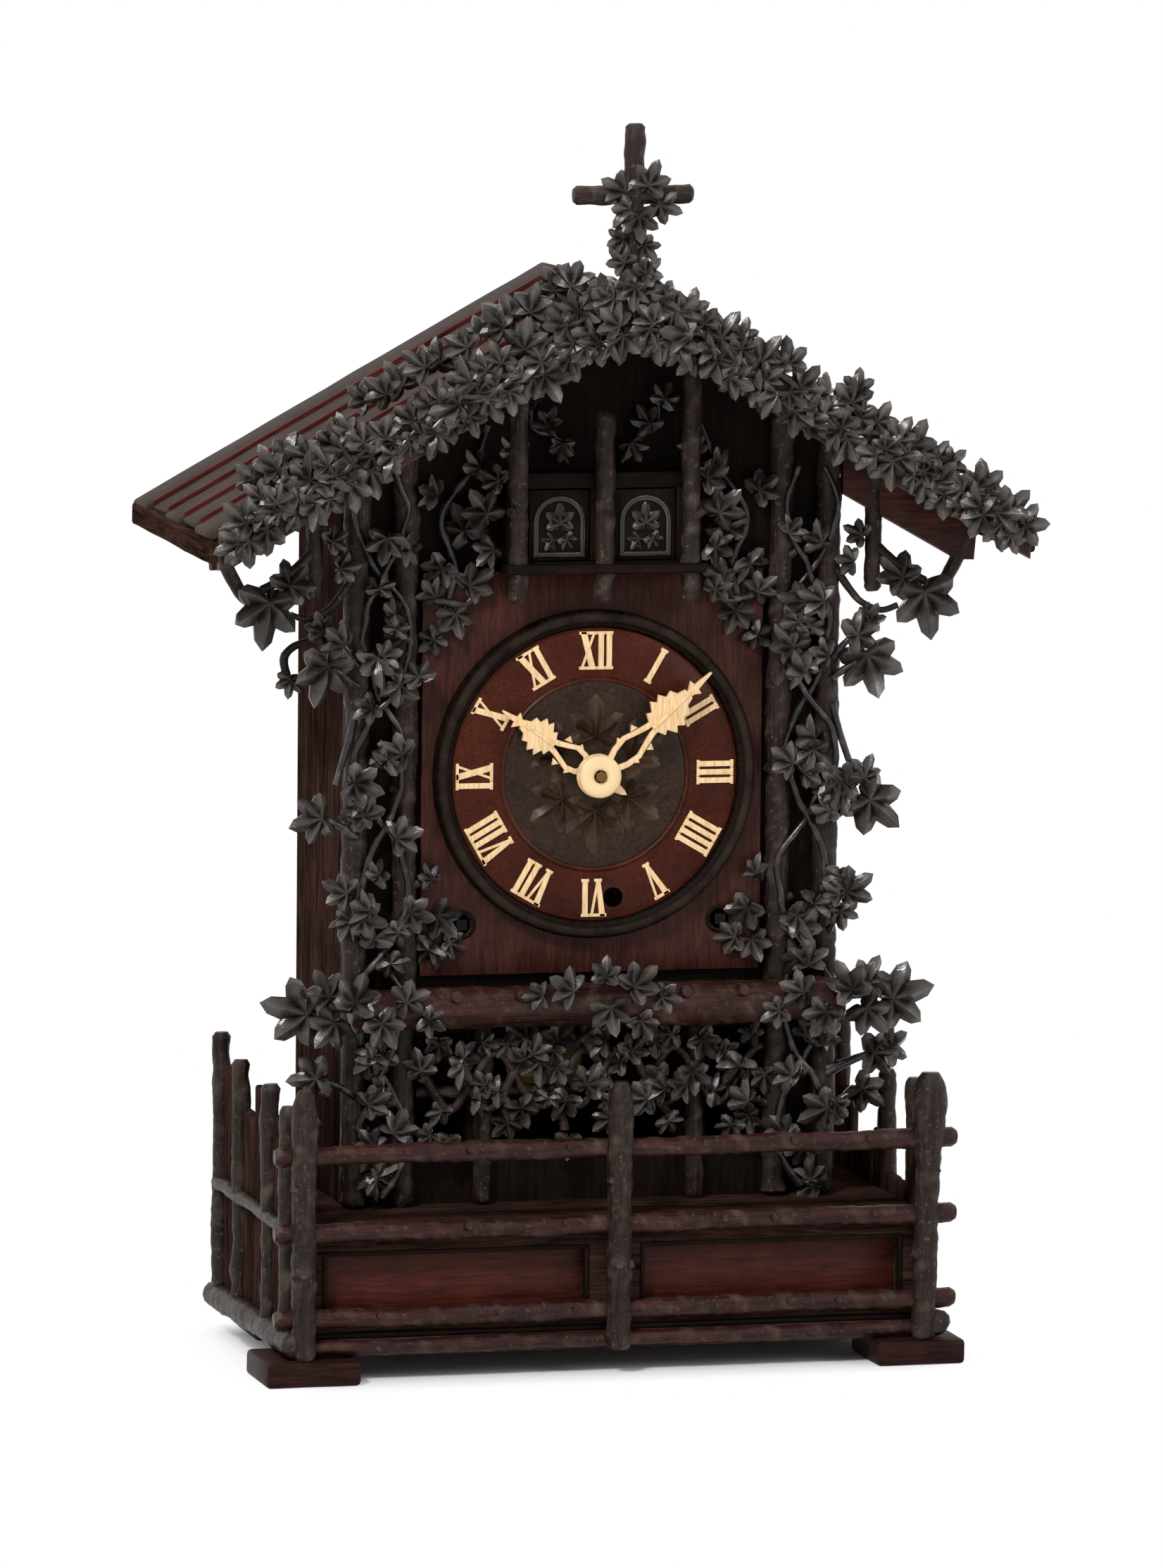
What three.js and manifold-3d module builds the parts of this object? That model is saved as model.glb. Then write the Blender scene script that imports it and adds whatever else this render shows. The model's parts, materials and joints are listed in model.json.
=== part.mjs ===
// A rustic carved table clock with two birds, as an assembly of separate pieces.
// Millimetres, +Z up, front towards -Y, origin under the middle of the clock at the level of its feet.

import * as THREE from "three";
import { mergeVertices } from "three/addons/utils/BufferGeometryUtils.js";
import Module from "manifold-3d";

const wasm = await Module();
wasm.setup();

// Clearances
const SEAT = 0.3; // between pieces that are glued or rest on each other
const PLAY = 0.5; // round a turning arbor or a swinging door

// Heights, from the feet up
const FOOT_HEIGHT = 10.5;
const BASE_BOX_HEIGHT = 48.5;
const DECK_THICKNESS = 6;
const BEAM_RISE = 85; // deck to the axis of the cross beam
const BEAM_RADIUS = 9;
const BEAM_TO_BEZEL = 18;
const BEZEL_RADIUS = 69;
const BEZEL_TO_SILL = 16.5;
const SILL_THICKNESS = 4;
const DOOR_HEIGHT = 29.5;
const DOOR_TO_RIDGE = 87;
const FINIAL_HEIGHT = 67;

// Widths, from the middle out
const DIAL_MARGIN = 12; // bezel to the axis of the inner column
const COLUMN_RADIUS = 4.5;
const COLUMN_PITCH = 20.5;
const COLUMN_INSET = 3; // case edge beyond the axis of the outer column
const EAVE_OVERHANG = 72.5;
const BASE_LEDGE = 26.5; // base edge beyond the case
const DOOR_WIDTH = 26;
const DOOR_POST_RADIUS = 4; // twig between the doors and beside them
const DOOR_POST_DROP = 12; // below the sill

// Depths, from the front back
const GABLE_RELIEF = 9;
const ROOF_OVERHANG = 57;
const CASE_DEPTH = 90;
const ROOF_TAIL = 2; // roof behind the case
const FRONT_BOARD = 8;
const PORCH_DEPTH = 17;
const BASE_APRON = 49; // base in front of the case

// Boards and carving
const WALL = 6.5;
const ROOF_PITCH = THREE.MathUtils.degToRad(29.3);
const ROOF_THICKNESS = 7;
const PLANK_COUNT = 5;
const PLANK_GROOVE = 2;
const BASE_WALL = 8;
const BASE_MOULDING = 2.2;
const BASE_MOULDING_HEIGHT = 7.5;
const BASE_PANEL_THICKNESS = 3;
const BASE_WINDOW_MARGIN = 7;
const BASE_WINDOW_STILE = 24;
const FOOT_WIDTH = 42;
const FOOT_DEPTH = 40;
const FOOT_REACH = 22; // front feet beyond the base
const FOOT_BACK_INSET = 1;
const FOOT_BACK_WIDTH = 19;
const FOOT_FRONT = 13;
const BARGE_HEIGHT = 18.5;
const BARGE_THICKNESS = 4.2;
const GABLE_LEAVES = 10;
const GABLE_LEAF_REACH = 15;
const DIAL_BOARD_THICKNESS = 5;
const DIAL_THICKNESS = 4;
const DIAL_CENTRE_RADIUS = 38.5;
const DIAL_CENTRE_RELIEF = 1.8;
const BEZEL_WIDTH = 7;
const BEZEL_DEPTH = 8;
const DOOR_THICKNESS = 3;
const DOOR_RELIEF = 0.9;
const SILL_REACH = 10;
const LATTICE_X = 46;
const LATTICE_RADIUS = 4;
const LATTICE_RAIL_RISE = 48;
const LATTICE_RAIL_RADIUS = 2.5;
const WINDOW_SILL = 22;
const WINDOW_HEIGHT = 50;

// Ivy sprays under the eaves
const SPRAY_REACH = 7; // in front of the case
const SPRAY_SPREAD = 39.5; // big leaf beyond the case
const SPRAY_DROP = 45; // big leaf below the roof
const SPRAY_EAVE = 14; // vine's end inside the eave
const SPRAY_LEAF = 18;
const SPRAY_SMALL_LEAF = 13;
const SPRAY_VINE_RADIUS = 2;
const HANGING_TWIG_GAP = 16; // beyond the case
const HANGING_TWIG_LENGTH = 53;
const HANGING_TWIG_RADIUS = 3.5;

// Rear door, turning on two pins in the deck and in a lug of the left wall
const REAR_DOOR_THICKNESS = 6;
const REAR_DOOR_LIFT = 3; // above the deck
const REAR_DOOR_DROP = 4.5; // below the roof, for the swing under its tail
const REAR_EDGE = 2;
const REAR_PIN_RADIUS = 2;
const REAR_PIN_LENGTH = 5;
const REAR_PIN_INSET = 5.5;
const LUG_HEIGHT = 6;
const LUG_REACH = 6; // beyond the axis of the pins
const LUG_GAP = 1;

// Fence
const POST_RADIUS = 4.5;
const POST_RISE = 58; // post tops above the deck
const POST_POINT = 7;
const POST_OUTSET = 3.5; // beyond the base's edge
const RAIL_RADIUS = 3.4;
const RAIL_STUB = 11;
const TOP_RAIL_RISE = 30;
const MIDDLE_RAIL_DROP = 2;
const LOW_RAIL_RISE = 16.5;
const PICKET_RADIUS = 3.2;
const PICKET_COUNT = 5;
const SIDE_RAIL_RADIUS = 2.8;

// Hands, at eight minutes past ten
const MINUTE_HAND = 64;
const HOUR_HAND = 50;
const MINUTE_HAND_DEGREES = 48;
const HOUR_HAND_DEGREES = 304;
const HAND_THICKNESS = 1.5;
const HAND_GAP = 2;
const HAND_HOLE = 7;
const HOUR_PIPE = 4.5;

// Movement
const PLATE_THICKNESS = 2.5;
const MOTION_WORK_DEPTH = 11; // case front to the movement's front plate
const TRAIN_MODULE = 2;
const GREAT_TEETH = 36;
const INTERMEDIATE_LEAVES = 8;
const INTERMEDIATE_TEETH = 34;
const CENTRE_LEAVES = 6;
const UPPER_MODULE = 4 / 3;
const CENTRE_TEETH = 36;
const THIRD_LEAVES = 6;
const THIRD_TEETH = 30;
const ESCAPE_LEAVES = 6;
const ESCAPE_TEETH = 15;
const ESCAPE_RADIUS = 13;
const ANCHOR_RISE = 20;
const THIRD_ARBOR_DEGREES = 140;
const MOTION_CENTRES = 20; // cannon pinion to minute wheel
const CANNON_LEAVES = 8;
const MINUTE_TEETH = 24;
const MINUTE_LEAVES = 6;
const HOUR_TEETH = 24;
const WHEEL_GAP = 4; // great wheel to the case wall
const WHEEL_THICKNESS = 2.5;
const ARBOR_RADIUS = 1.6;
const CENTRE_ARBOR_RADIUS = 2.5;
const WINDING_RADIUS = 4;
const BARREL_RADIUS = 27;
const PENDULUM_LENGTH = 180;
const BOB_RADIUS = 17;
const BOB_THICKNESS = 8;
const ROD_RADIUS = 1.3;
const SUSPENSION_PIN = 1.7;
const SUSPENSION_DEPTH = 10; // behind the back plate
const REAR_ROOM = 11.5; // suspension to the rear door
const CRUTCH_LENGTH = 55;
const PALLET_REACH = 13.5;
const PALLET_DROP = 10.5;
const PLATE_FOOT = 38; // plates below the barrels
const PLATE_FOOT_X = 22;
const PLATE_SHOULDER = 16;
const PLATE_NECK_X = 40;
const PILLAR_RADIUS = 3;
const REGULATOR_X = 8.4; // beside the VI
const REGULATOR_INSET = 17; // from the bezel's edge
const REGULATOR_RADIUS = 3.5;

// Birds and bellows
const BIRD_TRAVEL_ROOM = 8; // beak to the closed door
const PIPE_WIDTH = 22;
const PIPE_DEPTH = 26;
const PIPE_WALL = 3.5;
const PIPE_HEIGHT = 98;
const BELLOWS_BOARD = 4;
const BELLOWS_LENGTH = 40;
const SHELF_THICKNESS = 4;
const SHELF_DROP = 2.8; // top of the shelf below the doors
const SHELF_LEDGE = 18; // beyond the porch

// Levels worked out from the sizes above
const DEPTH = GABLE_RELIEF + ROOF_OVERHANG + CASE_DEPTH + ROOF_TAIL;
const GABLE_FRONT_Y = -DEPTH / 2;
const ROOF_FRONT_Y = GABLE_FRONT_Y + GABLE_RELIEF;
const CASE_FRONT_Y = ROOF_FRONT_Y + ROOF_OVERHANG;
const CASE_INNER_Y = CASE_FRONT_Y + FRONT_BOARD;
const CASE_BACK_Y = CASE_FRONT_Y + CASE_DEPTH;
const ROOF_BACK_Y = CASE_BACK_Y + ROOF_TAIL;
const BASE_FRONT_Y = CASE_FRONT_Y - BASE_APRON;
const BASE_BACK_Y = CASE_BACK_Y + ROOF_TAIL - 1;
const BASE_TOP_Z = FOOT_HEIGHT + BASE_BOX_HEIGHT;
const DECK_Z = BASE_TOP_Z + DECK_THICKNESS;
const BEAM_Z = DECK_Z + BEAM_RISE;
const DIAL_Z = BEAM_Z + BEAM_RADIUS + BEAM_TO_BEZEL + BEZEL_RADIUS;
const SILL_Z = DIAL_Z + BEZEL_RADIUS + BEZEL_TO_SILL;
const DOOR_Z = SILL_Z + SILL_THICKNESS + 1;
const RIDGE_Z = DOOR_Z + DOOR_HEIGHT + DOOR_TO_RIDGE;
const INNER_COLUMN_X = BEZEL_RADIUS + DIAL_MARGIN;
const OUTER_COLUMN_X = INNER_COLUMN_X + COLUMN_PITCH;
const CASE_X = OUTER_COLUMN_X + COLUMN_INSET;
const INNER_X = CASE_X - WALL;
const ROOF_X = CASE_X + EAVE_OVERHANG;
const BASE_X = CASE_X + BASE_LEDGE;
const COLUMN_Y = CASE_FRONT_Y - SEAT - COLUMN_RADIUS;
const COLUMN_FRONT_Y = COLUMN_Y - COLUMN_RADIUS;
const BEAM_Y = COLUMN_FRONT_Y - SEAT - BEAM_RADIUS;
const DOOR_FRONT_Y = CASE_FRONT_Y - PORCH_DEPTH;
const DOOR_INNER_X = DOOR_POST_RADIUS + 1.5;
const DOOR_OUTER_X = DOOR_INNER_X + DOOR_WIDTH;
const DOOR_POST_X = DOOR_OUTER_X + DOOR_POST_RADIUS + 1.5;
const DIAL_BACK_Y = CASE_FRONT_Y - DIAL_BOARD_THICKNESS;
const DIAL_FRONT_Y = DIAL_BACK_Y - DIAL_THICKNESS;
const HOUR_HAND_Y = DIAL_FRONT_Y - DIAL_CENTRE_RELIEF - HAND_GAP - 1;
const MINUTE_HAND_Y = HOUR_HAND_Y - HAND_THICKNESS - HAND_GAP;
const POST_Y = BASE_FRONT_Y - BASE_MOULDING - SEAT - POST_RADIUS;
const POST_X = BASE_X + POST_OUTSET;
const REAR_DOOR_Y = CASE_BACK_Y - REAR_DOOR_THICKNESS / 2;
const REAR_PIVOT_X = -(INNER_X - REAR_PIN_INSET);
const LUG_Z = roofUnder(CASE_X) - LUG_HEIGHT - SEAT;
const SHELF_Z = DOOR_Z - SHELF_DROP - SHELF_THICKNESS;

// Arbors of the movement as [x, z] places on the dial plane
const GREAT_PITCH = (TRAIN_MODULE * GREAT_TEETH) / 2;
const BARREL_TO_CENTRE =
  (TRAIN_MODULE * (GREAT_TEETH + INTERMEDIATE_LEAVES + INTERMEDIATE_TEETH + CENTRE_LEAVES)) / 2;
const BARREL_X = INNER_X - WHEEL_GAP - GREAT_PITCH - TRAIN_MODULE;
const BARREL_DROP = Math.sqrt(BARREL_TO_CENTRE ** 2 - BARREL_X ** 2);
const BARREL_TO_INTERMEDIATE = (TRAIN_MODULE * (GREAT_TEETH + INTERMEDIATE_LEAVES)) / 2;
const INTERMEDIATE_SHARE = BARREL_TO_INTERMEDIATE / BARREL_TO_CENTRE;
const CENTRE = [0, DIAL_Z];
const GOING_BARREL = [BARREL_X, DIAL_Z - BARREL_DROP];
const STRIKE_BARREL = [-BARREL_X, DIAL_Z - BARREL_DROP];
const INTERMEDIATE = between(GOING_BARREL, CENTRE, INTERMEDIATE_SHARE);
const PIN_WHEEL = between(STRIKE_BARREL, CENTRE, INTERMEDIATE_SHARE);
const CENTRE_TO_THIRD = (UPPER_MODULE * (CENTRE_TEETH + THIRD_LEAVES)) / 2;
const THIRD = polar(CENTRE, CENTRE_TO_THIRD, radians(THIRD_ARBOR_DEGREES));
const THIRD_TO_ESCAPE = (UPPER_MODULE * (THIRD_TEETH + ESCAPE_LEAVES)) / 2;
const ESCAPE = [0, THIRD[1] + Math.sqrt(THIRD_TO_ESCAPE ** 2 - THIRD[0] ** 2)];
const ANCHOR = [0, ESCAPE[1] + ANCHOR_RISE];
const MINUTE = [MOTION_CENTRES, DIAL_Z];
const REGULATOR = [REGULATOR_X, DIAL_Z - BEZEL_RADIUS + REGULATOR_INSET];
const FRONT_PLATE_Y = CASE_INNER_Y + MOTION_WORK_DEPTH;
const TRAIN_FRONT_Y = FRONT_PLATE_Y + PLATE_THICKNESS;
const SUSPENSION_Y = CASE_BACK_Y - REAR_DOOR_THICKNESS - REAR_ROOM;
const PLATE_BACK_Y = SUSPENSION_Y - SUSPENSION_DEPTH;
const BACK_PLATE_Y = PLATE_BACK_Y - PLATE_THICKNESS;
const PLATE_SPACING = BACK_PLATE_Y - TRAIN_FRONT_Y;

// Tooth shape, in modules and in shares of the tooth pitch
const ADDENDUM = 0.8;
const DEDENDUM = 1.15;
const WHEEL_TOOTH = { root: 0.5, tip: 0 };
const PINION_LEAF = { root: 0.34, tip: 0.2 };

// An ivy leaf: degrees round from the right, and reach as a share of the tip lobe's
const LEAF_LOBES = [
  [90, 1], [62, 0.56], [28, 0.93], [-8, 0.5], [-42, 0.76],
  [-90, 0.3], [-138, 0.76], [-172, 0.5], [152, 0.93], [118, 0.56],
];

const DARK_WOOD = { color: 0x2a2220, roughness: 0.5, metalness: 0 };
const RED_WOOD = { color: 0x55241a, roughness: 0.45, metalness: 0 };
const BONE = { color: 0xe9cf9c, roughness: 0.5, metalness: 0 };
const BRASS = { color: 0xb08a45, roughness: 0.35, metalness: 1 };
const STEEL = { color: 0x83868a, roughness: 0.35, metalness: 1 };
const PINE = { color: 0x9c7a52, roughness: 0.7, metalness: 0 };
const PAINTED_BIRD = { color: 0x6d5a45, roughness: 0.6, metalness: 0 };

const clock = new THREE.Group();

function radians(degrees) {
  return THREE.MathUtils.degToRad(degrees);
}

function between(from, to, share) {
  return [from[0] + (to[0] - from[0]) * share, from[1] + (to[1] - from[1]) * share];
}

function polar([x, z], radius, angle) {
  return [x + radius * Math.cos(angle), z + radius * Math.sin(angle)];
}

function direction(from, to) {
  return Math.atan2(to[1] - from[1], to[0] - from[0]);
}

// Height of the roof's top and underside at a distance from the ridge.
function roofTop(x) {
  return RIDGE_Z - Math.abs(x) * Math.tan(ROOF_PITCH);
}

function roofUnder(x) {
  return roofTop(x) - ROOF_THICKNESS / Math.cos(ROOF_PITCH);
}

// A closed geometry as a solid that can be joined and cut.
function solidOf(geometry) {
  const bare = new THREE.BufferGeometry().setAttribute("position", geometry.getAttribute("position"));
  if (geometry.index) bare.setIndex(geometry.index);
  const merged = mergeVertices(bare, 1e-4);
  const corners = merged.index.array;
  const triangles = [];
  for (let i = 0; i < corners.length; i += 3) {
    const [a, b, c] = [corners[i], corners[i + 1], corners[i + 2]];
    if (a !== b && b !== c && a !== c) triangles.push(a, b, c);
  }
  const vertProperties = new Float32Array(merged.attributes.position.array);
  const made = new wasm.Manifold(
    new wasm.Mesh({ numProp: 3, vertProperties, triVerts: new Uint32Array(triangles) }),
  );
  if (made.volume() > 0) return made;
  const turned = new Uint32Array(triangles).reverse();
  return new wasm.Manifold(new wasm.Mesh({ numProp: 3, vertProperties, triVerts: turned }));
}

function join(...solids) {
  return solids.flat().reduce((whole, next) => whole.add(next));
}

function cut(solid, ...tools) {
  return tools.flat().reduce((whole, next) => whole.subtract(next), solid);
}

function piece(name, solid, finish, mirrored = false) {
  const mesh = solid.getMesh();
  const geometry = new THREE.BufferGeometry();
  geometry.setAttribute("position", new THREE.BufferAttribute(new Float32Array(mesh.vertProperties), 3));
  geometry.setIndex(new THREE.BufferAttribute(new Uint32Array(mesh.triVerts), 1));
  geometry.computeVertexNormals();
  const made = new THREE.Mesh(geometry, new THREE.MeshStandardMaterial(finish));
  made.name = name;
  if (mirrored) made.scale.x = -1;
  clock.add(made);
}

// The same piece on the right and, mirrored, on the left.
function pair(name, solid, finish) {
  piece(name + "_right", solid, finish);
  piece(name + "_left", solid, finish, true);
}

function block(x0, x1, y0, y1, z0, z1) {
  const geometry = new THREE.BoxGeometry(x1 - x0, y1 - y0, z1 - z0);
  geometry.translate((x0 + x1) / 2, (y0 + y1) / 2, (z0 + z1) / 2);
  return solidOf(geometry);
}

// A board with an [x, z] outline, from its front face back, with its holes cut right through.
function plate(outline, frontY, backY, holes = []) {
  const shape = new THREE.Shape(outline.map(([x, z]) => new THREE.Vector2(x, z)));
  const geometry = new THREE.ExtrudeGeometry(shape, { depth: backY - frontY, bevelEnabled: false });
  geometry.rotateX(Math.PI / 2);
  geometry.translate(0, backY, 0);
  const through = holes.map((hole) => plate(hole, frontY - 1, backY + 1));
  return cut(solidOf(geometry), through);
}

function circle(centre, radius, sides = 8) {
  return Array.from({ length: sides }, (_, i) => polar(centre, radius, (2 * Math.PI * (i + 0.5)) / sides));
}

function rectangle(x0, x1, z0, z1) {
  return [[x0, z0], [x1, z0], [x1, z1], [x0, z1]];
}

// A round bar along Y.
function bar(centre, radius, frontY, backY, sides = 6) {
  return plate(circle(centre, radius, sides), frontY, backY);
}

function rod(from, to, radius, sides = 6) {
  const axis = new THREE.Vector3().subVectors(to, from);
  const geometry = new THREE.CylinderGeometry(radius, radius, axis.length(), sides);
  const up = new THREE.Vector3(0, 1, 0);
  geometry.applyQuaternion(new THREE.Quaternion().setFromUnitVectors(up, axis.clone().normalize()));
  geometry.translate((from.x + to.x) / 2, (from.y + to.y) / 2, (from.z + to.z) / 2);
  return solidOf(geometry);
}

function point(x, y, z) {
  return new THREE.Vector3(x, y, z);
}

// An upright twig with a whittled point on top.
function stake(x, y, bottomZ, topZ, radius, tip) {
  const height = topZ - bottomZ;
  const profile = [[0, 0], [radius, 0], [radius, height - tip], [radius * 0.3, height], [0, height]];
  const geometry = new THREE.LatheGeometry(profile.map(([r, h]) => new THREE.Vector2(r, h)), 6);
  geometry.rotateX(Math.PI / 2);
  geometry.translate(x, y, bottomZ);
  return solidOf(geometry);
}

// A turned piece round a dial-wise axis: profile as [radius, y].
function turned(profile, [x, z], sides = 32) {
  const points = [...profile, profile[0]].map(([r, y]) => new THREE.Vector2(r, y));
  const geometry = new THREE.LatheGeometry(points, sides);
  geometry.translate(x, 0, z);
  return solidOf(geometry);
}

function vine(places, radius, steps) {
  const round = new THREE.Shape(circle([0, 0], radius, 5).map(([a, b]) => new THREE.Vector2(a, b)));
  const extrudePath = new THREE.CatmullRomCurve3(places);
  return solidOf(new THREE.ExtrudeGeometry(round, { steps, bevelEnabled: false, extrudePath }));
}

// A carved ivy leaf facing the front, its tip turned clockwise by degrees, its lobes curling back.
function leaf(x, y, z, reach, degrees, relief) {
  const ring = LEAF_LOBES.map(([at, share]) => {
    const [across, up] = polar([0, 0], reach * share, radians(at - degrees));
    return [x + across, y + relief * 0.5 * share, z + up];
  });
  const corners = [...ring, [x, y - relief, z], [x, y + relief, z]];
  const front = ring.length;
  const faces = ring.flatMap((_, i) => {
    const next = (i + 1) % ring.length;
    return [i, next, front, next, i, front + 1];
  });
  const geometry = new THREE.BufferGeometry();
  geometry.setAttribute("position", new THREE.BufferAttribute(new Float32Array(corners.flat()), 3));
  geometry.setIndex(faces);
  return solidOf(geometry);
}

// A toothed wheel with one tooth pointing at an angle.
function gear(centre, teeth, module, angle, form, frontY, backY) {
  const pitch = (2 * Math.PI) / teeth;
  const root = (module * teeth) / 2 - DEDENDUM * module;
  const tip = (module * teeth) / 2 + ADDENDUM * module;
  const outline = [];
  for (let i = 0; i < teeth; i += 1) {
    const middle = angle + i * pitch;
    outline.push(polar(centre, root, middle - (form.root * pitch) / 2));
    if (form.tip) outline.push(polar(centre, tip, middle - (form.tip * pitch) / 2));
    outline.push(polar(centre, tip, middle + (form.tip * pitch) / 2));
    outline.push(polar(centre, root, middle + (form.root * pitch) / 2));
  }
  return plate(outline, frontY, backY);
}

// A pinion whose gap faces a wheel, so that the wheel's tooth stands between two leaves.
function pinion(centre, leaves, module, towards, frontY, backY) {
  return gear(centre, leaves, module, towards + Math.PI / leaves, PINION_LEAF, frontY, backY);
}

function buildBase() {
  const windowTop = BASE_TOP_Z - 5;
  const windowBottom = FOOT_HEIGHT + BASE_MOULDING_HEIGHT + 8;
  const shell = block(-BASE_X, BASE_X, BASE_FRONT_Y, BASE_BACK_Y, FOOT_HEIGHT, BASE_TOP_Z);
  const moulding = block(
    -BASE_X - BASE_MOULDING, BASE_X + BASE_MOULDING, BASE_FRONT_Y - BASE_MOULDING, BASE_BACK_Y,
    FOOT_HEIGHT, FOOT_HEIGHT + BASE_MOULDING_HEIGHT,
  );
  const inner = block(
    -BASE_X + BASE_WALL, BASE_X - BASE_WALL, BASE_FRONT_Y + BASE_WALL, BASE_BACK_Y - BASE_WALL,
    FOOT_HEIGHT - 1, BASE_TOP_Z + 1,
  );
  const windows = [1, -1].map((side) => {
    const ends = [side * BASE_WINDOW_STILE / 2, side * (BASE_X - BASE_WINDOW_MARGIN)].sort((a, b) => a - b);
    return block(ends[0], ends[1], BASE_FRONT_Y - 1, BASE_FRONT_Y + BASE_WALL + 1, windowBottom, windowTop);
  });
  piece("base_box", cut(join(shell, moulding), inner, windows), DARK_WOOD);
  const panelY = BASE_FRONT_Y + BASE_WALL;
  const panelX = BASE_X - BASE_WALL;
  const panel = block(
    -panelX, panelX, panelY, panelY + BASE_PANEL_THICKNESS, FOOT_HEIGHT + BASE_MOULDING_HEIGHT, BASE_TOP_Z,
  );
  piece("base_front_panel", panel, RED_WOOD);
  const pivotHole = rearPin(BASE_TOP_Z - 1, DECK_Z + 1, REAR_PIN_RADIUS + PLAY);
  const deck = block(-BASE_X, BASE_X, BASE_FRONT_Y, BASE_BACK_Y, BASE_TOP_Z, DECK_Z);
  piece("base_deck", cut(deck, pivotHole), DARK_WOOD);
  const rows = {
    front: [BASE_X + FOOT_REACH, FOOT_WIDTH, BASE_FRONT_Y - FOOT_FRONT],
    back: [BASE_X - FOOT_BACK_INSET, FOOT_BACK_WIDTH, BASE_BACK_Y - FOOT_DEPTH],
  };
  for (const [row, [x, width, y]] of Object.entries(rows))
    pair("foot_" + row, block(x - width, x, y, y + FOOT_DEPTH, 0, FOOT_HEIGHT), RED_WOOD);
}

function buildFence() {
  const railY = BASE_FRONT_Y - SEAT - RAIL_RADIUS;
  const railX = POST_X + RAIL_STUB;
  const levels = {
    top: DECK_Z + TOP_RAIL_RISE,
    middle: DECK_Z - MIDDLE_RAIL_DROP,
    lower: FOOT_HEIGHT + LOW_RAIL_RISE,
  };
  const notches = [];
  for (const [name, z] of Object.entries(levels)) {
    const ends = [point(-railX, railY, z), point(railX, railY, z)];
    piece("fence_rail_" + name, rod(...ends, RAIL_RADIUS), DARK_WOOD);
    notches.push(rod(...ends, RAIL_RADIUS + SEAT));
  }
  const topZ = DECK_Z + POST_RISE;
  const posts = { left: -POST_X, centre: 0, right: POST_X };
  for (const [name, x] of Object.entries(posts)) {
    const post = stake(x, POST_Y, FOOT_HEIGHT + SEAT, topZ, POST_RADIUS, POST_POINT);
    piece("fence_post_" + name, cut(post, notches), DARK_WOOD);
  }
  const picketX = BASE_X + SEAT + PICKET_RADIUS;
  const sideRailX = picketX + PICKET_RADIUS;
  const frontY = BASE_FRONT_Y + POST_RADIUS * 2;
  const backY = BASE_BACK_Y - PICKET_RADIUS;
  const pickets = Array.from({ length: PICKET_COUNT }, (_, i) => {
    const y = frontY + ((backY - frontY) * i) / (PICKET_COUNT - 1);
    const bottom = FOOT_HEIGHT + BASE_MOULDING_HEIGHT + SEAT;
    return stake(picketX, y, bottom, topZ, PICKET_RADIUS, POST_POINT);
  });
  const sideRails = Object.values(levels).map((z) =>
    rod(point(sideRailX, frontY - POST_RADIUS, z), point(sideRailX, BASE_BACK_Y, z), SIDE_RAIL_RADIUS),
  );
  pair("fence_side", join(pickets, sideRails), DARK_WOOD);
}

// A length of the rear door's pivot line.
function rearPin(bottomZ, topZ, radius) {
  return rod(point(REAR_PIVOT_X, REAR_DOOR_Y, bottomZ), point(REAR_PIVOT_X, REAR_DOOR_Y, topZ), radius);
}

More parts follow.
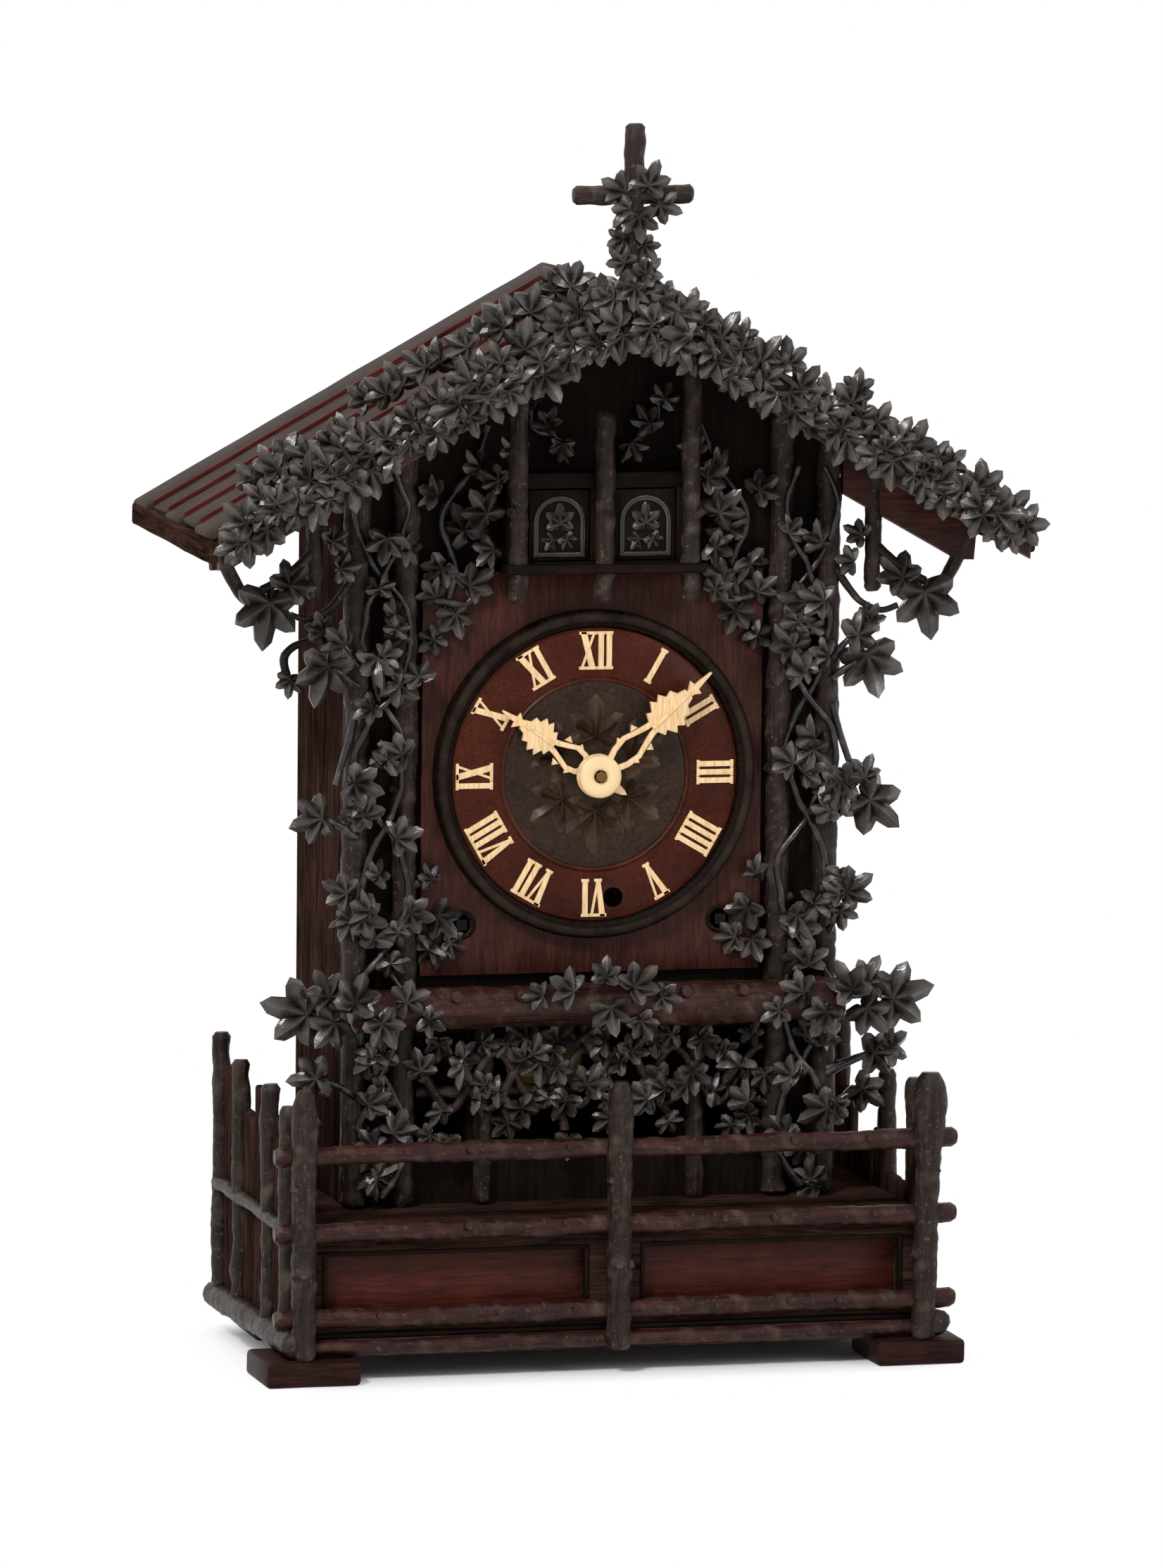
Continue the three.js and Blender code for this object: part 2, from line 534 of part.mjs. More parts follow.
function buildCase() {
  const wall = plate(
    [
      [INNER_X, DECK_Z], [CASE_X, DECK_Z], [CASE_X, roofUnder(CASE_X) - SEAT],
      [INNER_X, roofUnder(INNER_X) - SEAT],
    ],
    CASE_INNER_Y, CASE_BACK_Y,
  );
  piece("case_side_right", wall, DARK_WOOD);
  const mirrorWall = plate(
    [
      [-INNER_X, DECK_Z], [-INNER_X, roofUnder(INNER_X) - SEAT], [-CASE_X, roofUnder(CASE_X) - SEAT],
      [-CASE_X, DECK_Z],
    ],
    CASE_INNER_Y, CASE_BACK_Y,
  );
  const lug = block(
    -INNER_X - 1, REAR_PIVOT_X + LUG_REACH, CASE_BACK_Y - REAR_DOOR_THICKNESS, CASE_BACK_Y,
    LUG_Z, LUG_Z + LUG_HEIGHT,
  );
  const socket = rearPin(LUG_Z - 1, LUG_Z + LUG_HEIGHT + 1, REAR_PIN_RADIUS + PLAY);
  piece("case_side_left", cut(join(mirrorWall, lug), socket), DARK_WOOD);

  const top = RIDGE_Z - ROOF_THICKNESS / Math.cos(ROOF_PITCH) - SEAT;
  const outline = [
    [-CASE_X, DECK_Z], [CASE_X, DECK_Z], [CASE_X, roofUnder(CASE_X) - SEAT], [0, top],
    [-CASE_X, roofUnder(CASE_X) - SEAT],
  ];
  const windowZ = DECK_Z + WINDOW_SILL;
  const windowGap = LATTICE_RADIUS + 2;
  const sideWindow = [LATTICE_X + windowGap, INNER_COLUMN_X - COLUMN_RADIUS - 2];
  const windows = [
    rectangle(-LATTICE_X + windowGap, LATTICE_X - windowGap, windowZ, windowZ + WINDOW_HEIGHT),
    rectangle(sideWindow[0], sideWindow[1], windowZ, windowZ + WINDOW_HEIGHT),
    rectangle(-sideWindow[1], -sideWindow[0], windowZ, windowZ + WINDOW_HEIGHT),
  ];
  const holes = [...windows, ...doorOpenings(), ...dialHoles()];
  piece("case_front", plate(outline, CASE_FRONT_Y, CASE_INNER_Y, holes), DARK_WOOD);

  const boardX = INNER_COLUMN_X - COLUMN_RADIUS - 3;
  const board = rectangle(-boardX, boardX, BEAM_Z + BEAM_RADIUS + 3, SILL_Z - SEAT);
  const regulator = circle(REGULATOR, REGULATOR_RADIUS);
  piece("dial_board", plate(board, DIAL_BACK_Y, CASE_FRONT_Y, [...dialHoles(), regulator]), RED_WOOD);

  const rearBottom = DECK_Z + REAR_DOOR_LIFT;
  const rearTop = (x) => roofUnder(x) - REAR_DOOR_DROP;
  const edge = INNER_X - REAR_EDGE;
  const notchX = REAR_PIVOT_X + LUG_REACH + 2 * LUG_GAP;
  const notchZ = LUG_Z - LUG_GAP;
  const rearOutline = [
    [-edge, rearBottom], [edge, rearBottom], [edge, rearTop(edge)], [0, rearTop(0)],
    [notchX, rearTop(notchX)], [notchX, notchZ], [-edge, notchZ],
  ];
  const rearDoor = join(
    plate(rearOutline, CASE_BACK_Y - REAR_DOOR_THICKNESS, CASE_BACK_Y),
    rearPin(rearBottom - REAR_PIN_LENGTH, rearBottom + 1, REAR_PIN_RADIUS),
    rearPin(notchZ - 1, notchZ + REAR_PIN_LENGTH, REAR_PIN_RADIUS),
  );
  piece("rear_door", rearDoor, DARK_WOOD);
}

function doorOpenings() {
  const low = DOOR_Z - PLAY;
  const high = DOOR_Z + DOOR_HEIGHT + PLAY;
  return [
    rectangle(DOOR_INNER_X - PLAY, DOOR_OUTER_X + PLAY, low, high),
    rectangle(-DOOR_OUTER_X - PLAY, -DOOR_INNER_X + PLAY, low, high),
  ];
}

function dialHoles() {
  return [
    circle(CENTRE, HAND_HOLE),
    circle(GOING_BARREL, WINDING_RADIUS + PLAY),
    circle(STRIKE_BARREL, WINDING_RADIUS + PLAY),
  ];
}

function buildRoof() {
  const gap = SEAT / 2;
  const across = ROOF_THICKNESS * Math.sin(ROOF_PITCH);
  const outline = [
    [gap, roofTop(gap)], [gap, roofUnder(gap)],
    [ROOF_X - across, roofTop(ROOF_X) - ROOF_THICKNESS * Math.cos(ROOF_PITCH)], [ROOF_X, roofTop(ROOF_X)],
  ];
  const slab = plate(outline, ROOF_FRONT_Y, ROOF_BACK_Y);
  const grooves = [];
  for (let i = 1; i < PLANK_COUNT; i += 1) {
    const y = ROOF_FRONT_Y + ((ROOF_BACK_Y - ROOF_FRONT_Y) * i) / PLANK_COUNT;
    const depth = PLANK_GROOVE * 0.8;
    const end = ROOF_X + 1;
    const top = [
      [-1, roofTop(0) + 1], [-1, roofTop(0) - depth], [end, roofTop(end) - depth], [end, roofTop(0) + 1],
    ];
    grooves.push(plate(top, y - PLANK_GROOVE / 2, y + PLANK_GROOVE / 2));
  }
  pair("roof", cut(slab, grooves), DARK_WOOD);

  const bargeBack = ROOF_FRONT_Y - SEAT;
  const bargeFront = bargeBack - BARGE_THICKNESS;
  const barge = plate(
    [
      [gap, roofTop(gap)], [gap, roofTop(gap) - BARGE_HEIGHT],
      [ROOF_X - 4, roofTop(ROOF_X - 4) - BARGE_HEIGHT], [ROOF_X - 4, roofTop(ROOF_X - 4)],
    ],
    bargeFront, bargeBack,
  );
  const relief = bargeFront - GABLE_FRONT_Y;
  const first = GABLE_LEAF_REACH + 11;
  const last = ROOF_X - GABLE_LEAF_REACH + 4;
  const leaves = Array.from({ length: GABLE_LEAVES }, (_, i) => {
    const x = first + ((last - first) * i) / (GABLE_LEAVES - 1);
    const sway = i % 2 ? 5 : -5;
    const turn = 35 + (i % 2 ? -65 : 75);
    return leaf(x, bargeFront, roofTop(x) - BARGE_HEIGHT / 2 + sway, GABLE_LEAF_REACH, turn, relief);
  });
  pair("gable_carving", join(barge, leaves), DARK_WOOD);

  const barRadius = 3.8;
  const stemY = GABLE_FRONT_Y + 5;
  const armZ = RIDGE_Z + FINIAL_HEIGHT * 0.585;
  const arm = 23;
  const leafY = stemY - 2;
  const leafRelief = leafY - GABLE_FRONT_Y;
  const finial = join(
    rod(point(0, stemY, RIDGE_Z + SEAT), point(0, stemY, RIDGE_Z + FINIAL_HEIGHT), barRadius),
    rod(point(-arm, stemY, armZ), point(arm, stemY, armZ), barRadius),
    leaf(2, leafY, armZ, 15, 20, leafRelief),
    leaf(-4, leafY, RIDGE_Z + 25, 9, 200, leafRelief),
    leaf(4, leafY, RIDGE_Z + 13, 10, 60, leafRelief),
    leaf(-3, leafY, RIDGE_Z + 6, 10, -50, leafRelief),
  );
  piece("finial_cross", finial, DARK_WOOD);
}

function buildFrontCarving() {
  const beamX = CASE_X + 2;
  const beam = (radius) => rod(point(-beamX, BEAM_Y, BEAM_Z), point(beamX, BEAM_Y, BEAM_Z), radius);
  const columns = [INNER_COLUMN_X, OUTER_COLUMN_X].map((x) => {
    const top = roofUnder(x + COLUMN_RADIUS) - SEAT;
    return rod(point(x, COLUMN_Y, DECK_Z + SEAT), point(x, COLUMN_Y, top), COLUMN_RADIUS);
  });
  const vineY = COLUMN_FRONT_Y + 0.6;
  const middleX = (INNER_COLUMN_X + OUTER_COLUMN_X) / 2;
  const vineTop = roofUnder(OUTER_COLUMN_X) - 12;
  const turns = 7;
  const vinePlaces = Array.from({ length: turns + 1 }, (_, i) => {
    const x = middleX + (i % 2 ? 10 : -9);
    return point(x, vineY, DECK_Z + 8 + ((vineTop - DECK_Z - 8) * i) / turns);
  });
  const leafY = COLUMN_FRONT_Y - 1;
  const leaves = [
    [OUTER_COLUMN_X + 12, DIAL_Z + 50, 13, 110], [OUTER_COLUMN_X + 17, DIAL_Z - 11, 15, 95],
    [OUTER_COLUMN_X + 11, DIAL_Z - 48, 12, 120], [OUTER_COLUMN_X + 15, DECK_Z + 55, 14, 100],
    [middleX + 2, DIAL_Z + 84, 13, 160], [middleX + 3, DIAL_Z + 22, 11, 30],
    [middleX + 1, DIAL_Z - 32, 11, 150], [middleX - 4, DIAL_Z - 68, 13, -40],
    [middleX, DECK_Z + 40, 13, 170],
  ].map(([x, z, reach, turn]) => leaf(x, leafY, z, reach, turn, 4));
  const stemEnds = [[DIAL_Z + 50, 12], [DIAL_Z - 11, 17], [DIAL_Z - 48, 11], [DECK_Z + 55, 15]];
  const stems = stemEnds.map(([z, out]) =>
    rod(point(OUTER_COLUMN_X, leafY + 2, z - 4), point(OUTER_COLUMN_X + out, leafY + 1, z), 1.8, 5),
  );
  const pilaster = join(columns, vine(vinePlaces, 2, turns), leaves, stems);
  pair("pilaster", cut(pilaster, beam(BEAM_RADIUS + SEAT)), DARK_WOOD);

  const beamFront = BEAM_Y - BEAM_RADIUS;
  const ends = [1, -1].flatMap((side) => [
    leaf(side * (CASE_X + 22), BEAM_Y, BEAM_Z + 2, 17, side * 70, 5),
    leaf(side * (CASE_X + 4), beamFront + 1, BEAM_Z + 3, 14, side * 130, 4),
  ]);
  const stubs = [1, -1].map((side) =>
    rod(point(side * CASE_X, BEAM_Y, BEAM_Z), point(side * (CASE_X + 20), BEAM_Y, BEAM_Z + 2), 2.2, 6),
  );
  const middle = [
    leaf(-14, beamFront + 1, BEAM_Z + 7, 12, -60, 4),
    leaf(13, beamFront + 1, BEAM_Z + 7, 12, 50, 4),
    leaf(2, beamFront + 1, BEAM_Z - 2, 12, 170, 4),
  ];
  piece("cross_beam", join(beam(BEAM_RADIUS), ends, stubs, middle), DARK_WOOD);

  const latticeY = CASE_FRONT_Y - SEAT - LATTICE_RADIUS;
  const railZ = DECK_Z + LATTICE_RAIL_RISE;
  const railX = INNER_COLUMN_X - COLUMN_RADIUS - 1;
  const latticeLeafY = latticeY - LATTICE_RADIUS;
  const lattice = join(
    [LATTICE_X, -LATTICE_X].map((x) =>
      rod(point(x, latticeY, DECK_Z + SEAT), point(x, latticeY, BEAM_Z + BEAM_RADIUS), LATTICE_RADIUS),
    ),
    rod(point(-railX, latticeY, railZ), point(railX, latticeY, railZ), LATTICE_RAIL_RADIUS),
    [[-27, 6, 14, -30], [-6, -9, 13, 160], [17, 5, 14, 25], [-50, -6, 12, 200], [50, -8, 12, 150]].map(
      ([x, dz, reach, turn]) => leaf(x, latticeLeafY + 1.5, railZ + dz, reach, turn, 4),
    ),
  );
  piece("lower_lattice", cut(lattice, beam(BEAM_RADIUS + SEAT)), DARK_WOOD);
  buildBrackets();
}

// Ivy sprays that hang under the eaves beside the case.
function buildBrackets() {
  const y = CASE_FRONT_Y - SPRAY_REACH;
  const leafY = y - 1;
  const twigX = CASE_X + HANGING_TWIG_GAP;
  const twigTop = roofUnder(twigX + HANGING_TWIG_RADIUS) - SEAT;
  const twigEnd = twigTop - HANGING_TWIG_LENGTH;
  const bigX = CASE_X + SPRAY_SPREAD;
  const bigZ = roofUnder(bigX) - SPRAY_DROP;
  const eaveX = ROOF_X - SPRAY_EAVE;
  const spray = join(
    rod(point(twigX, y, twigEnd), point(twigX, y, twigTop), HANGING_TWIG_RADIUS),
    vine(
      [
        point(CASE_X + 4.2, y + 2, twigEnd - 6), point(twigX, y, twigEnd + 10),
        point(bigX - 9, y, bigZ + 10), point(bigX + 2, y, bigZ + 4),
        point(eaveX - 5, y, roofUnder(eaveX) - 16),
        point(eaveX, y, roofUnder(eaveX + 3) - SEAT - SPRAY_VINE_RADIUS),
      ],
      SPRAY_VINE_RADIUS, 9,
    ),
    leaf(bigX, leafY, bigZ, SPRAY_LEAF, 150, 5),
    leaf(twigX + 8, leafY, twigEnd, SPRAY_SMALL_LEAF, 60, 4),
    leaf(eaveX - 6, leafY, roofUnder(eaveX) - 14, SPRAY_SMALL_LEAF * 0.85, -30, 4),
  );
  pair("eave_bracket", spray, DARK_WOOD);
}

function buildDial() {
  const plateRadius = BEZEL_RADIUS - BEZEL_WIDTH - SEAT;
  const face = turned(
    [
      [HOUR_PIPE + PLAY, DIAL_BACK_Y], [HOUR_PIPE + PLAY, DIAL_FRONT_Y - DIAL_CENTRE_RELIEF],
      [DIAL_CENTRE_RADIUS, DIAL_FRONT_Y - DIAL_CENTRE_RELIEF], [DIAL_CENTRE_RADIUS, DIAL_FRONT_Y],
      [plateRadius, DIAL_FRONT_Y], [plateRadius, DIAL_BACK_Y],
    ],
    CENTRE,
  );
  const regulator = bar(REGULATOR, REGULATOR_RADIUS, DIAL_FRONT_Y - 1, DIAL_BACK_Y + 1, 10);
  piece("dial_plate", cut(face, regulator), RED_WOOD);
  const inner = BEZEL_RADIUS - BEZEL_WIDTH;
  const front = DIAL_BACK_Y - BEZEL_DEPTH;
  const bezel = turned(
    [
      [inner, DIAL_BACK_Y], [inner, front + 3], [inner + BEZEL_WIDTH * 0.35, front],
      [inner + BEZEL_WIDTH * 0.75, front], [BEZEL_RADIUS, front + 3], [BEZEL_RADIUS, DIAL_BACK_Y],
    ],
    CENTRE,
  );
  piece("dial_bezel", bezel, DARK_WOOD);
  piece("hour_hand", hand(HOUR_HAND, HOUR_HAND_DEGREES, HOUR_PIPE, HOUR_HAND_Y), BONE);
  piece("minute_hand", hand(MINUTE_HAND, MINUTE_HAND_DEGREES, CENTRE_ARBOR_RADIUS, MINUTE_HAND_Y), BONE);
}

// A leaf-shaped hand: half outline as [share of its length, half width], mirrored about its own line.
function hand(length, degrees, boss, backY) {
  const half = [
    [0.1, 2.2], [0.42, 2.4], [0.5, 6.5], [0.62, 5], [0.68, 7], [0.8, 2.4], [0.9, 2.6],
  ];
  const outline = [...half, [1, 0], ...half.map(([l, w]) => [l, -w]).reverse()];
  const turn = radians(degrees);
  const placed = outline.map(([share, across]) => {
    const along = share * length;
    return [
      along * Math.sin(turn) + across * Math.cos(turn),
      DIAL_Z + along * Math.cos(turn) - across * Math.sin(turn),
    ];
  });
  const front = backY - HAND_THICKNESS;
  const ring = plate(circle(CENTRE, boss + 5, 16), front, backY);
  return cut(join(plate(placed, front, backY), ring), bar(CENTRE, boss + SEAT, front - 1, backY + 1, 12));
}

function buildDoors() {
  const postTop = roofUnder(DOOR_POST_X + DOOR_POST_RADIUS) - SEAT;
  const postY = DOOR_FRONT_Y - DOOR_POST_RADIUS * 0.9;
  const porchX = DOOR_POST_X + DOOR_POST_RADIUS;
  const porchTop = DOOR_Z + DOOR_HEIGHT + 7;
  const front = rectangle(-porchX, porchX, SILL_Z, porchTop);
  const frame = plate(front, DOOR_FRONT_Y, CASE_FRONT_Y, doorOpenings());
  const sill = block(
    -porchX - 2, porchX + 2, DOOR_FRONT_Y - SILL_REACH, DOOR_FRONT_Y + 1, SILL_Z, SILL_Z + SILL_THICKNESS,
  );
  const posts = [-DOOR_POST_X, 0, DOOR_POST_X].map((x) => {
    const top = x ? postTop : porchTop + 26;
    return rod(point(x, postY, SILL_Z - DOOR_POST_DROP), point(x, postY, top), DOOR_POST_RADIUS);
  });
  const sprays = [1, -1].flatMap((side) => [
    leaf(side * (porchX + 12), CASE_FRONT_Y - 5, DOOR_Z + 24, 13, side * 40, 4),
    rod(
      point(side * (porchX - 1), CASE_FRONT_Y - 5, DOOR_Z + 10),
      point(side * (porchX + 12), CASE_FRONT_Y - 5, DOOR_Z + 24), 2, 6,
    ),
  ]);
  piece("door_porch", join(frame, sill, posts, sprays), DARK_WOOD);

  const doorX = (DOOR_INNER_X + DOOR_OUTER_X) / 2;
  const panel = block(
    DOOR_INNER_X, DOOR_OUTER_X, DOOR_FRONT_Y, DOOR_FRONT_Y + DOOR_THICKNESS, DOOR_Z, DOOR_Z + DOOR_HEIGHT,
  );
  const carving = leaf(doorX, DOOR_FRONT_Y + 0.1, DOOR_Z + DOOR_HEIGHT / 2, 9, 0, DOOR_RELIEF);
  pair("door", join(panel, carving), DARK_WOOD);

  const shelfTop = SHELF_Z + SHELF_THICKNESS;
  const shelfBack = BACK_PLATE_Y + 12;
  const shelfX = porchX + SHELF_LEDGE;
  piece("bird_shelf", block(-shelfX, shelfX, CASE_INNER_Y, shelfBack, SHELF_Z, shelfTop), PINE);
  piece("cuckoo", bird(-doorX, 1), PAINTED_BIRD);
  piece("quail", bird(doorX, 0.85), PAINTED_BIRD);
}

// A bird on its arm, with the sled that runs on the shelf.
function bird(x, scale) {
  const ball = (y, z, rx, ry, rz) => {
    const geometry = new THREE.SphereGeometry(1, 8, 5);
    geometry.scale(rx * scale, ry * scale, rz * scale);
    geometry.translate(x, y, z);
    return solidOf(geometry);
  };
  const beakY = DOOR_FRONT_Y + DOOR_THICKNESS + BIRD_TRAVEL_ROOM;
  const headY = beakY + 9 * scale;
  const bodyY = headY + 11 * scale;
  const bodyZ = DOOR_Z + DOOR_HEIGHT * 0.44;
  const headZ = bodyZ + 8 * scale;
  const beak = new THREE.ConeGeometry(2 * scale, 5 * scale, 6);
  beak.rotateX(Math.PI);
  beak.translate(x, beakY + 2.5 * scale, headZ);
  const sledZ = SHELF_Z + SHELF_THICKNESS + SEAT;
  const sledY = CASE_INNER_Y + 37;
  return join(
    ball(headY, headZ, 6.2, 6.5, 6.2),
    ball(bodyY, bodyZ, 7.4, 13, 8),
    solidOf(beak),
    block(x - 3 * scale, x + 3 * scale, bodyY + 8 * scale, bodyY + 24 * scale, bodyZ - 1, bodyZ + 3),
    rod(point(x, bodyY, bodyZ), point(x, sledY + 10, sledZ + 2), 1.6, 6),
    block(x - 6, x + 6, sledY, sledY + 20, sledZ, sledZ + 4),
  );
}

function buildBellows() {
  const x0 = INNER_X - PIPE_WIDTH;
  const y0 = FRONT_PLATE_Y + 8;
  const topZ = DOOR_Z;
  const bottomZ = topZ - PIPE_HEIGHT;
  const tube = block(x0, INNER_X, y0, y0 + PIPE_DEPTH, bottomZ, topZ);
  const hollow = block(
    x0 + PIPE_WALL, INNER_X - PIPE_WALL, y0 + PIPE_WALL, y0 + PIPE_DEPTH - PIPE_WALL,
    bottomZ + PIPE_WALL, topZ - PIPE_WALL,
  );
  const mouth = block(x0 + PIPE_WALL, INNER_X - PIPE_WALL, y0 - 1, y0 + PIPE_WALL + 1, topZ - 26, topZ - 18);
  pair("bellows_pipe", cut(tube, hollow, mouth), PINE);
  const boardY = y0 + PIPE_DEPTH + 2 - BELLOWS_LENGTH;
  const boardZ = topZ + SEAT;
  const board = block(x0 + 1, INNER_X - 1, boardY, boardY + BELLOWS_LENGTH, boardZ, boardZ + BELLOWS_BOARD);
  const weightZ = boardZ + BELLOWS_BOARD;
  const weight = block(x0 + 7, INNER_X - 7, boardY + 6, boardY + 16, weightZ - 1, weightZ + 5);
  pair("bellows_top", join(board, weight), PINE);
}

function buildPlates() {
  const low = GOING_BARREL[1];
  const wide = BARREL_X + 10;
  const narrow = PLATE_NECK_X;
  const top = ANCHOR[1] + 13;
  const outline = [
    [-wide, low - 14], [-PLATE_FOOT_X, low - PLATE_FOOT], [PLATE_FOOT_X, low - PLATE_FOOT], [wide, low - 14],
    [wide, low + PLATE_SHOULDER], [narrow, DIAL_Z - 4], [narrow, top], [-narrow, top], [-narrow, DIAL_Z - 4],
    [-wide, low + PLATE_SHOULDER],
  ];
  const inset = PILLAR_RADIUS * 2;
  const pillarX = PLATE_FOOT_X - inset - 4;
  const pillarZ = low - PLATE_FOOT + inset + 2;
  const pillars = [
    [-pillarX, pillarZ], [pillarX, pillarZ], [inset - narrow, top - inset], [narrow - inset, top - inset],
  ];
  const fine = [INTERMEDIATE, PIN_WHEEL, THIRD, ESCAPE, ANCHOR].map((at) => circle(at, ARBOR_RADIUS + PLAY));
  const barrels = [GOING_BARREL, STRIKE_BARREL].map((at) => circle(at, WINDING_RADIUS + PLAY));
  const centre = circle(CENTRE, CENTRE_ARBOR_RADIUS + PLAY);
  const stud = circle(MINUTE, ARBOR_RADIUS + PLAY);
  const front = join(
    plate(outline, FRONT_PLATE_Y, TRAIN_FRONT_Y, [...fine, ...barrels, centre, stud]),
    pillars.map((at) => bar(at, PILLAR_RADIUS, CASE_INNER_Y, FRONT_PLATE_Y + 1)),
  );
  piece("movement_front_plate", front, BRASS);
  const cockZ = ANCHOR[1] + 6;
  const back = join(
    plate(outline, BACK_PLATE_Y, PLATE_BACK_Y, [...fine, ...barrels, centre]),
    pillars.map((at) => bar(at, PILLAR_RADIUS, TRAIN_FRONT_Y, BACK_PLATE_Y + 1)),
    block(-5, 5, PLATE_BACK_Y - 1, SUSPENSION_Y + 7.5, cockZ, cockZ + 5),
    block(-5, 5, SUSPENSION_Y + 4, SUSPENSION_Y + 7.5, ANCHOR[1] - 5, cockZ + 5),
    bar(ANCHOR, SUSPENSION_PIN, SUSPENSION_Y - 3.5, SUSPENSION_Y + 5),
  );
  piece("movement_back_plate", back, BRASS);
}

// An arbor between the plates' holes.
function arbor(at, radius, frontY = FRONT_PLATE_Y, backY = PLATE_BACK_Y) {
  return bar(at, radius, frontY, backY);
}

function buildTrain() {
  const greatFront = BACK_PLATE_Y - 8;
  const greatBack = greatFront + 3;
  const drumFront = TRAIN_FRONT_Y + PLATE_SPACING * 0.2;
  const barrel = (at, towards) =>
    cut(
      join(
        plate(circle(at, BARREL_RADIUS, 24), drumFront, greatFront + 1),
        gear(at, GREAT_TEETH, TRAIN_MODULE, towards, WHEEL_TOOTH, greatFront, greatBack),
      ),
      bar(at, WINDING_RADIUS + PLAY, drumFront - 1, greatBack + 1, 12),
    );
  const winding = (at) =>
    join(
      bar(at, WINDING_RADIUS, CASE_INNER_Y + 1, PLATE_BACK_Y, 10),
      bar(at, WINDING_RADIUS * 0.8, DIAL_BACK_Y - 1, CASE_INNER_Y + 2, 4),
      plate(circle(at, 11, 12), FRONT_PLATE_Y - 4.5, FRONT_PLATE_Y - 2),
    );
  const goingWay = direction(GOING_BARREL, INTERMEDIATE);
  const strikeWay = direction(STRIKE_BARREL, PIN_WHEEL);
  piece("going_barrel", barrel(GOING_BARREL, goingWay), BRASS);
  piece("going_winding_arbor", winding(GOING_BARREL), STEEL);
  piece("strike_barrel", barrel(STRIKE_BARREL, strikeWay), BRASS);
  piece("strike_winding_arbor", winding(STRIKE_BARREL), STEEL);

  const centreWay = direction(INTERMEDIATE, CENTRE);
  const wheelFront = TRAIN_FRONT_Y + PLATE_SPACING / 15;
  const wheelBack = wheelFront + WHEEL_THICKNESS;
  const leafFront = greatFront - 1;
  const leafBack = greatBack + 1;
  const intermediate = join(
    arbor(INTERMEDIATE, ARBOR_RADIUS),
    pinion(INTERMEDIATE, INTERMEDIATE_LEAVES, TRAIN_MODULE, goingWay + Math.PI, leafFront, leafBack),
    gear(INTERMEDIATE, INTERMEDIATE_TEETH, TRAIN_MODULE, centreWay, WHEEL_TOOTH, wheelFront, wheelBack),
  );
  piece("intermediate_wheel", intermediate, BRASS);
  const discFront = drumFront + 2;
  const pins = Array.from({ length: 8 }, (_, i) => {
    const at = polar(PIN_WHEEL, 12, (i * Math.PI) / 4);
    return bar(at, 1.2, discFront + 2, discFront + 8, 6);
  });
  const pinWheel = join(
    arbor(PIN_WHEEL, ARBOR_RADIUS),
    pinion(PIN_WHEEL, INTERMEDIATE_LEAVES, TRAIN_MODULE, strikeWay + Math.PI, leafFront, leafBack),
    plate(circle(PIN_WHEEL, 15, 20), discFront, discFront + 3),
    pins,
  );
  piece("strike_pin_wheel", pinWheel, BRASS);

  const thirdWay = direction(CENTRE, THIRD);
  const centreFront = TRAIN_FRONT_Y + PLATE_SPACING * 0.52;
  const centreBack = centreFront + WHEEL_THICKNESS;
  const cannonFront = FRONT_PLATE_Y - 5;
  const centre = join(
    arbor(CENTRE, CENTRE_ARBOR_RADIUS, MINUTE_HAND_Y - HAND_THICKNESS - 1),
    pinion(CENTRE, CENTRE_LEAVES, TRAIN_MODULE, centreWay + Math.PI, wheelFront - 1, wheelBack + 1),
    gear(CENTRE, CENTRE_TEETH, UPPER_MODULE, thirdWay, WHEEL_TOOTH, centreFront, centreBack),
    pinion(CENTRE, CANNON_LEAVES, cannonModule(), direction(CENTRE, MINUTE), cannonFront, cannonFront + 3),
  );
  piece("centre_arbor", centre, BRASS);

  const escapeWay = direction(THIRD, ESCAPE);
  const thirdFront = TRAIN_FRONT_Y + PLATE_SPACING * 0.707;
  const third = join(
    arbor(THIRD, ARBOR_RADIUS),
    pinion(THIRD, THIRD_LEAVES, UPPER_MODULE, thirdWay + Math.PI, centreFront - 0.5, centreBack + 0.5),
    gear(THIRD, THIRD_TEETH, UPPER_MODULE, escapeWay, WHEEL_TOOTH, thirdFront, thirdFront + 2),
  );
  piece("third_wheel", third, BRASS);

  const escapeFront = BACK_PLATE_Y - 5;
  const saw = Array.from({ length: ESCAPE_TEETH }, (_, i) => {
    const at = (2 * Math.PI * i) / ESCAPE_TEETH;
    return [polar(ESCAPE, ESCAPE_RADIUS * 0.72, at), polar(ESCAPE, ESCAPE_RADIUS, at + 0.3)];
  }).flat();
  const escape = join(
    arbor(ESCAPE, ARBOR_RADIUS),
    pinion(ESCAPE, ESCAPE_LEAVES, UPPER_MODULE, escapeWay + Math.PI, thirdFront - 0.5, thirdFront + 2.5),
    plate(saw, escapeFront, escapeFront + 2),
  );
  piece("escape_wheel", escape, BRASS);
  buildEscapement(escapeFront);
  buildMotionWork(cannonFront);
}

function cannonModule() {
  return (2 * MOTION_CENTRES) / (CANNON_LEAVES + MINUTE_TEETH);
}

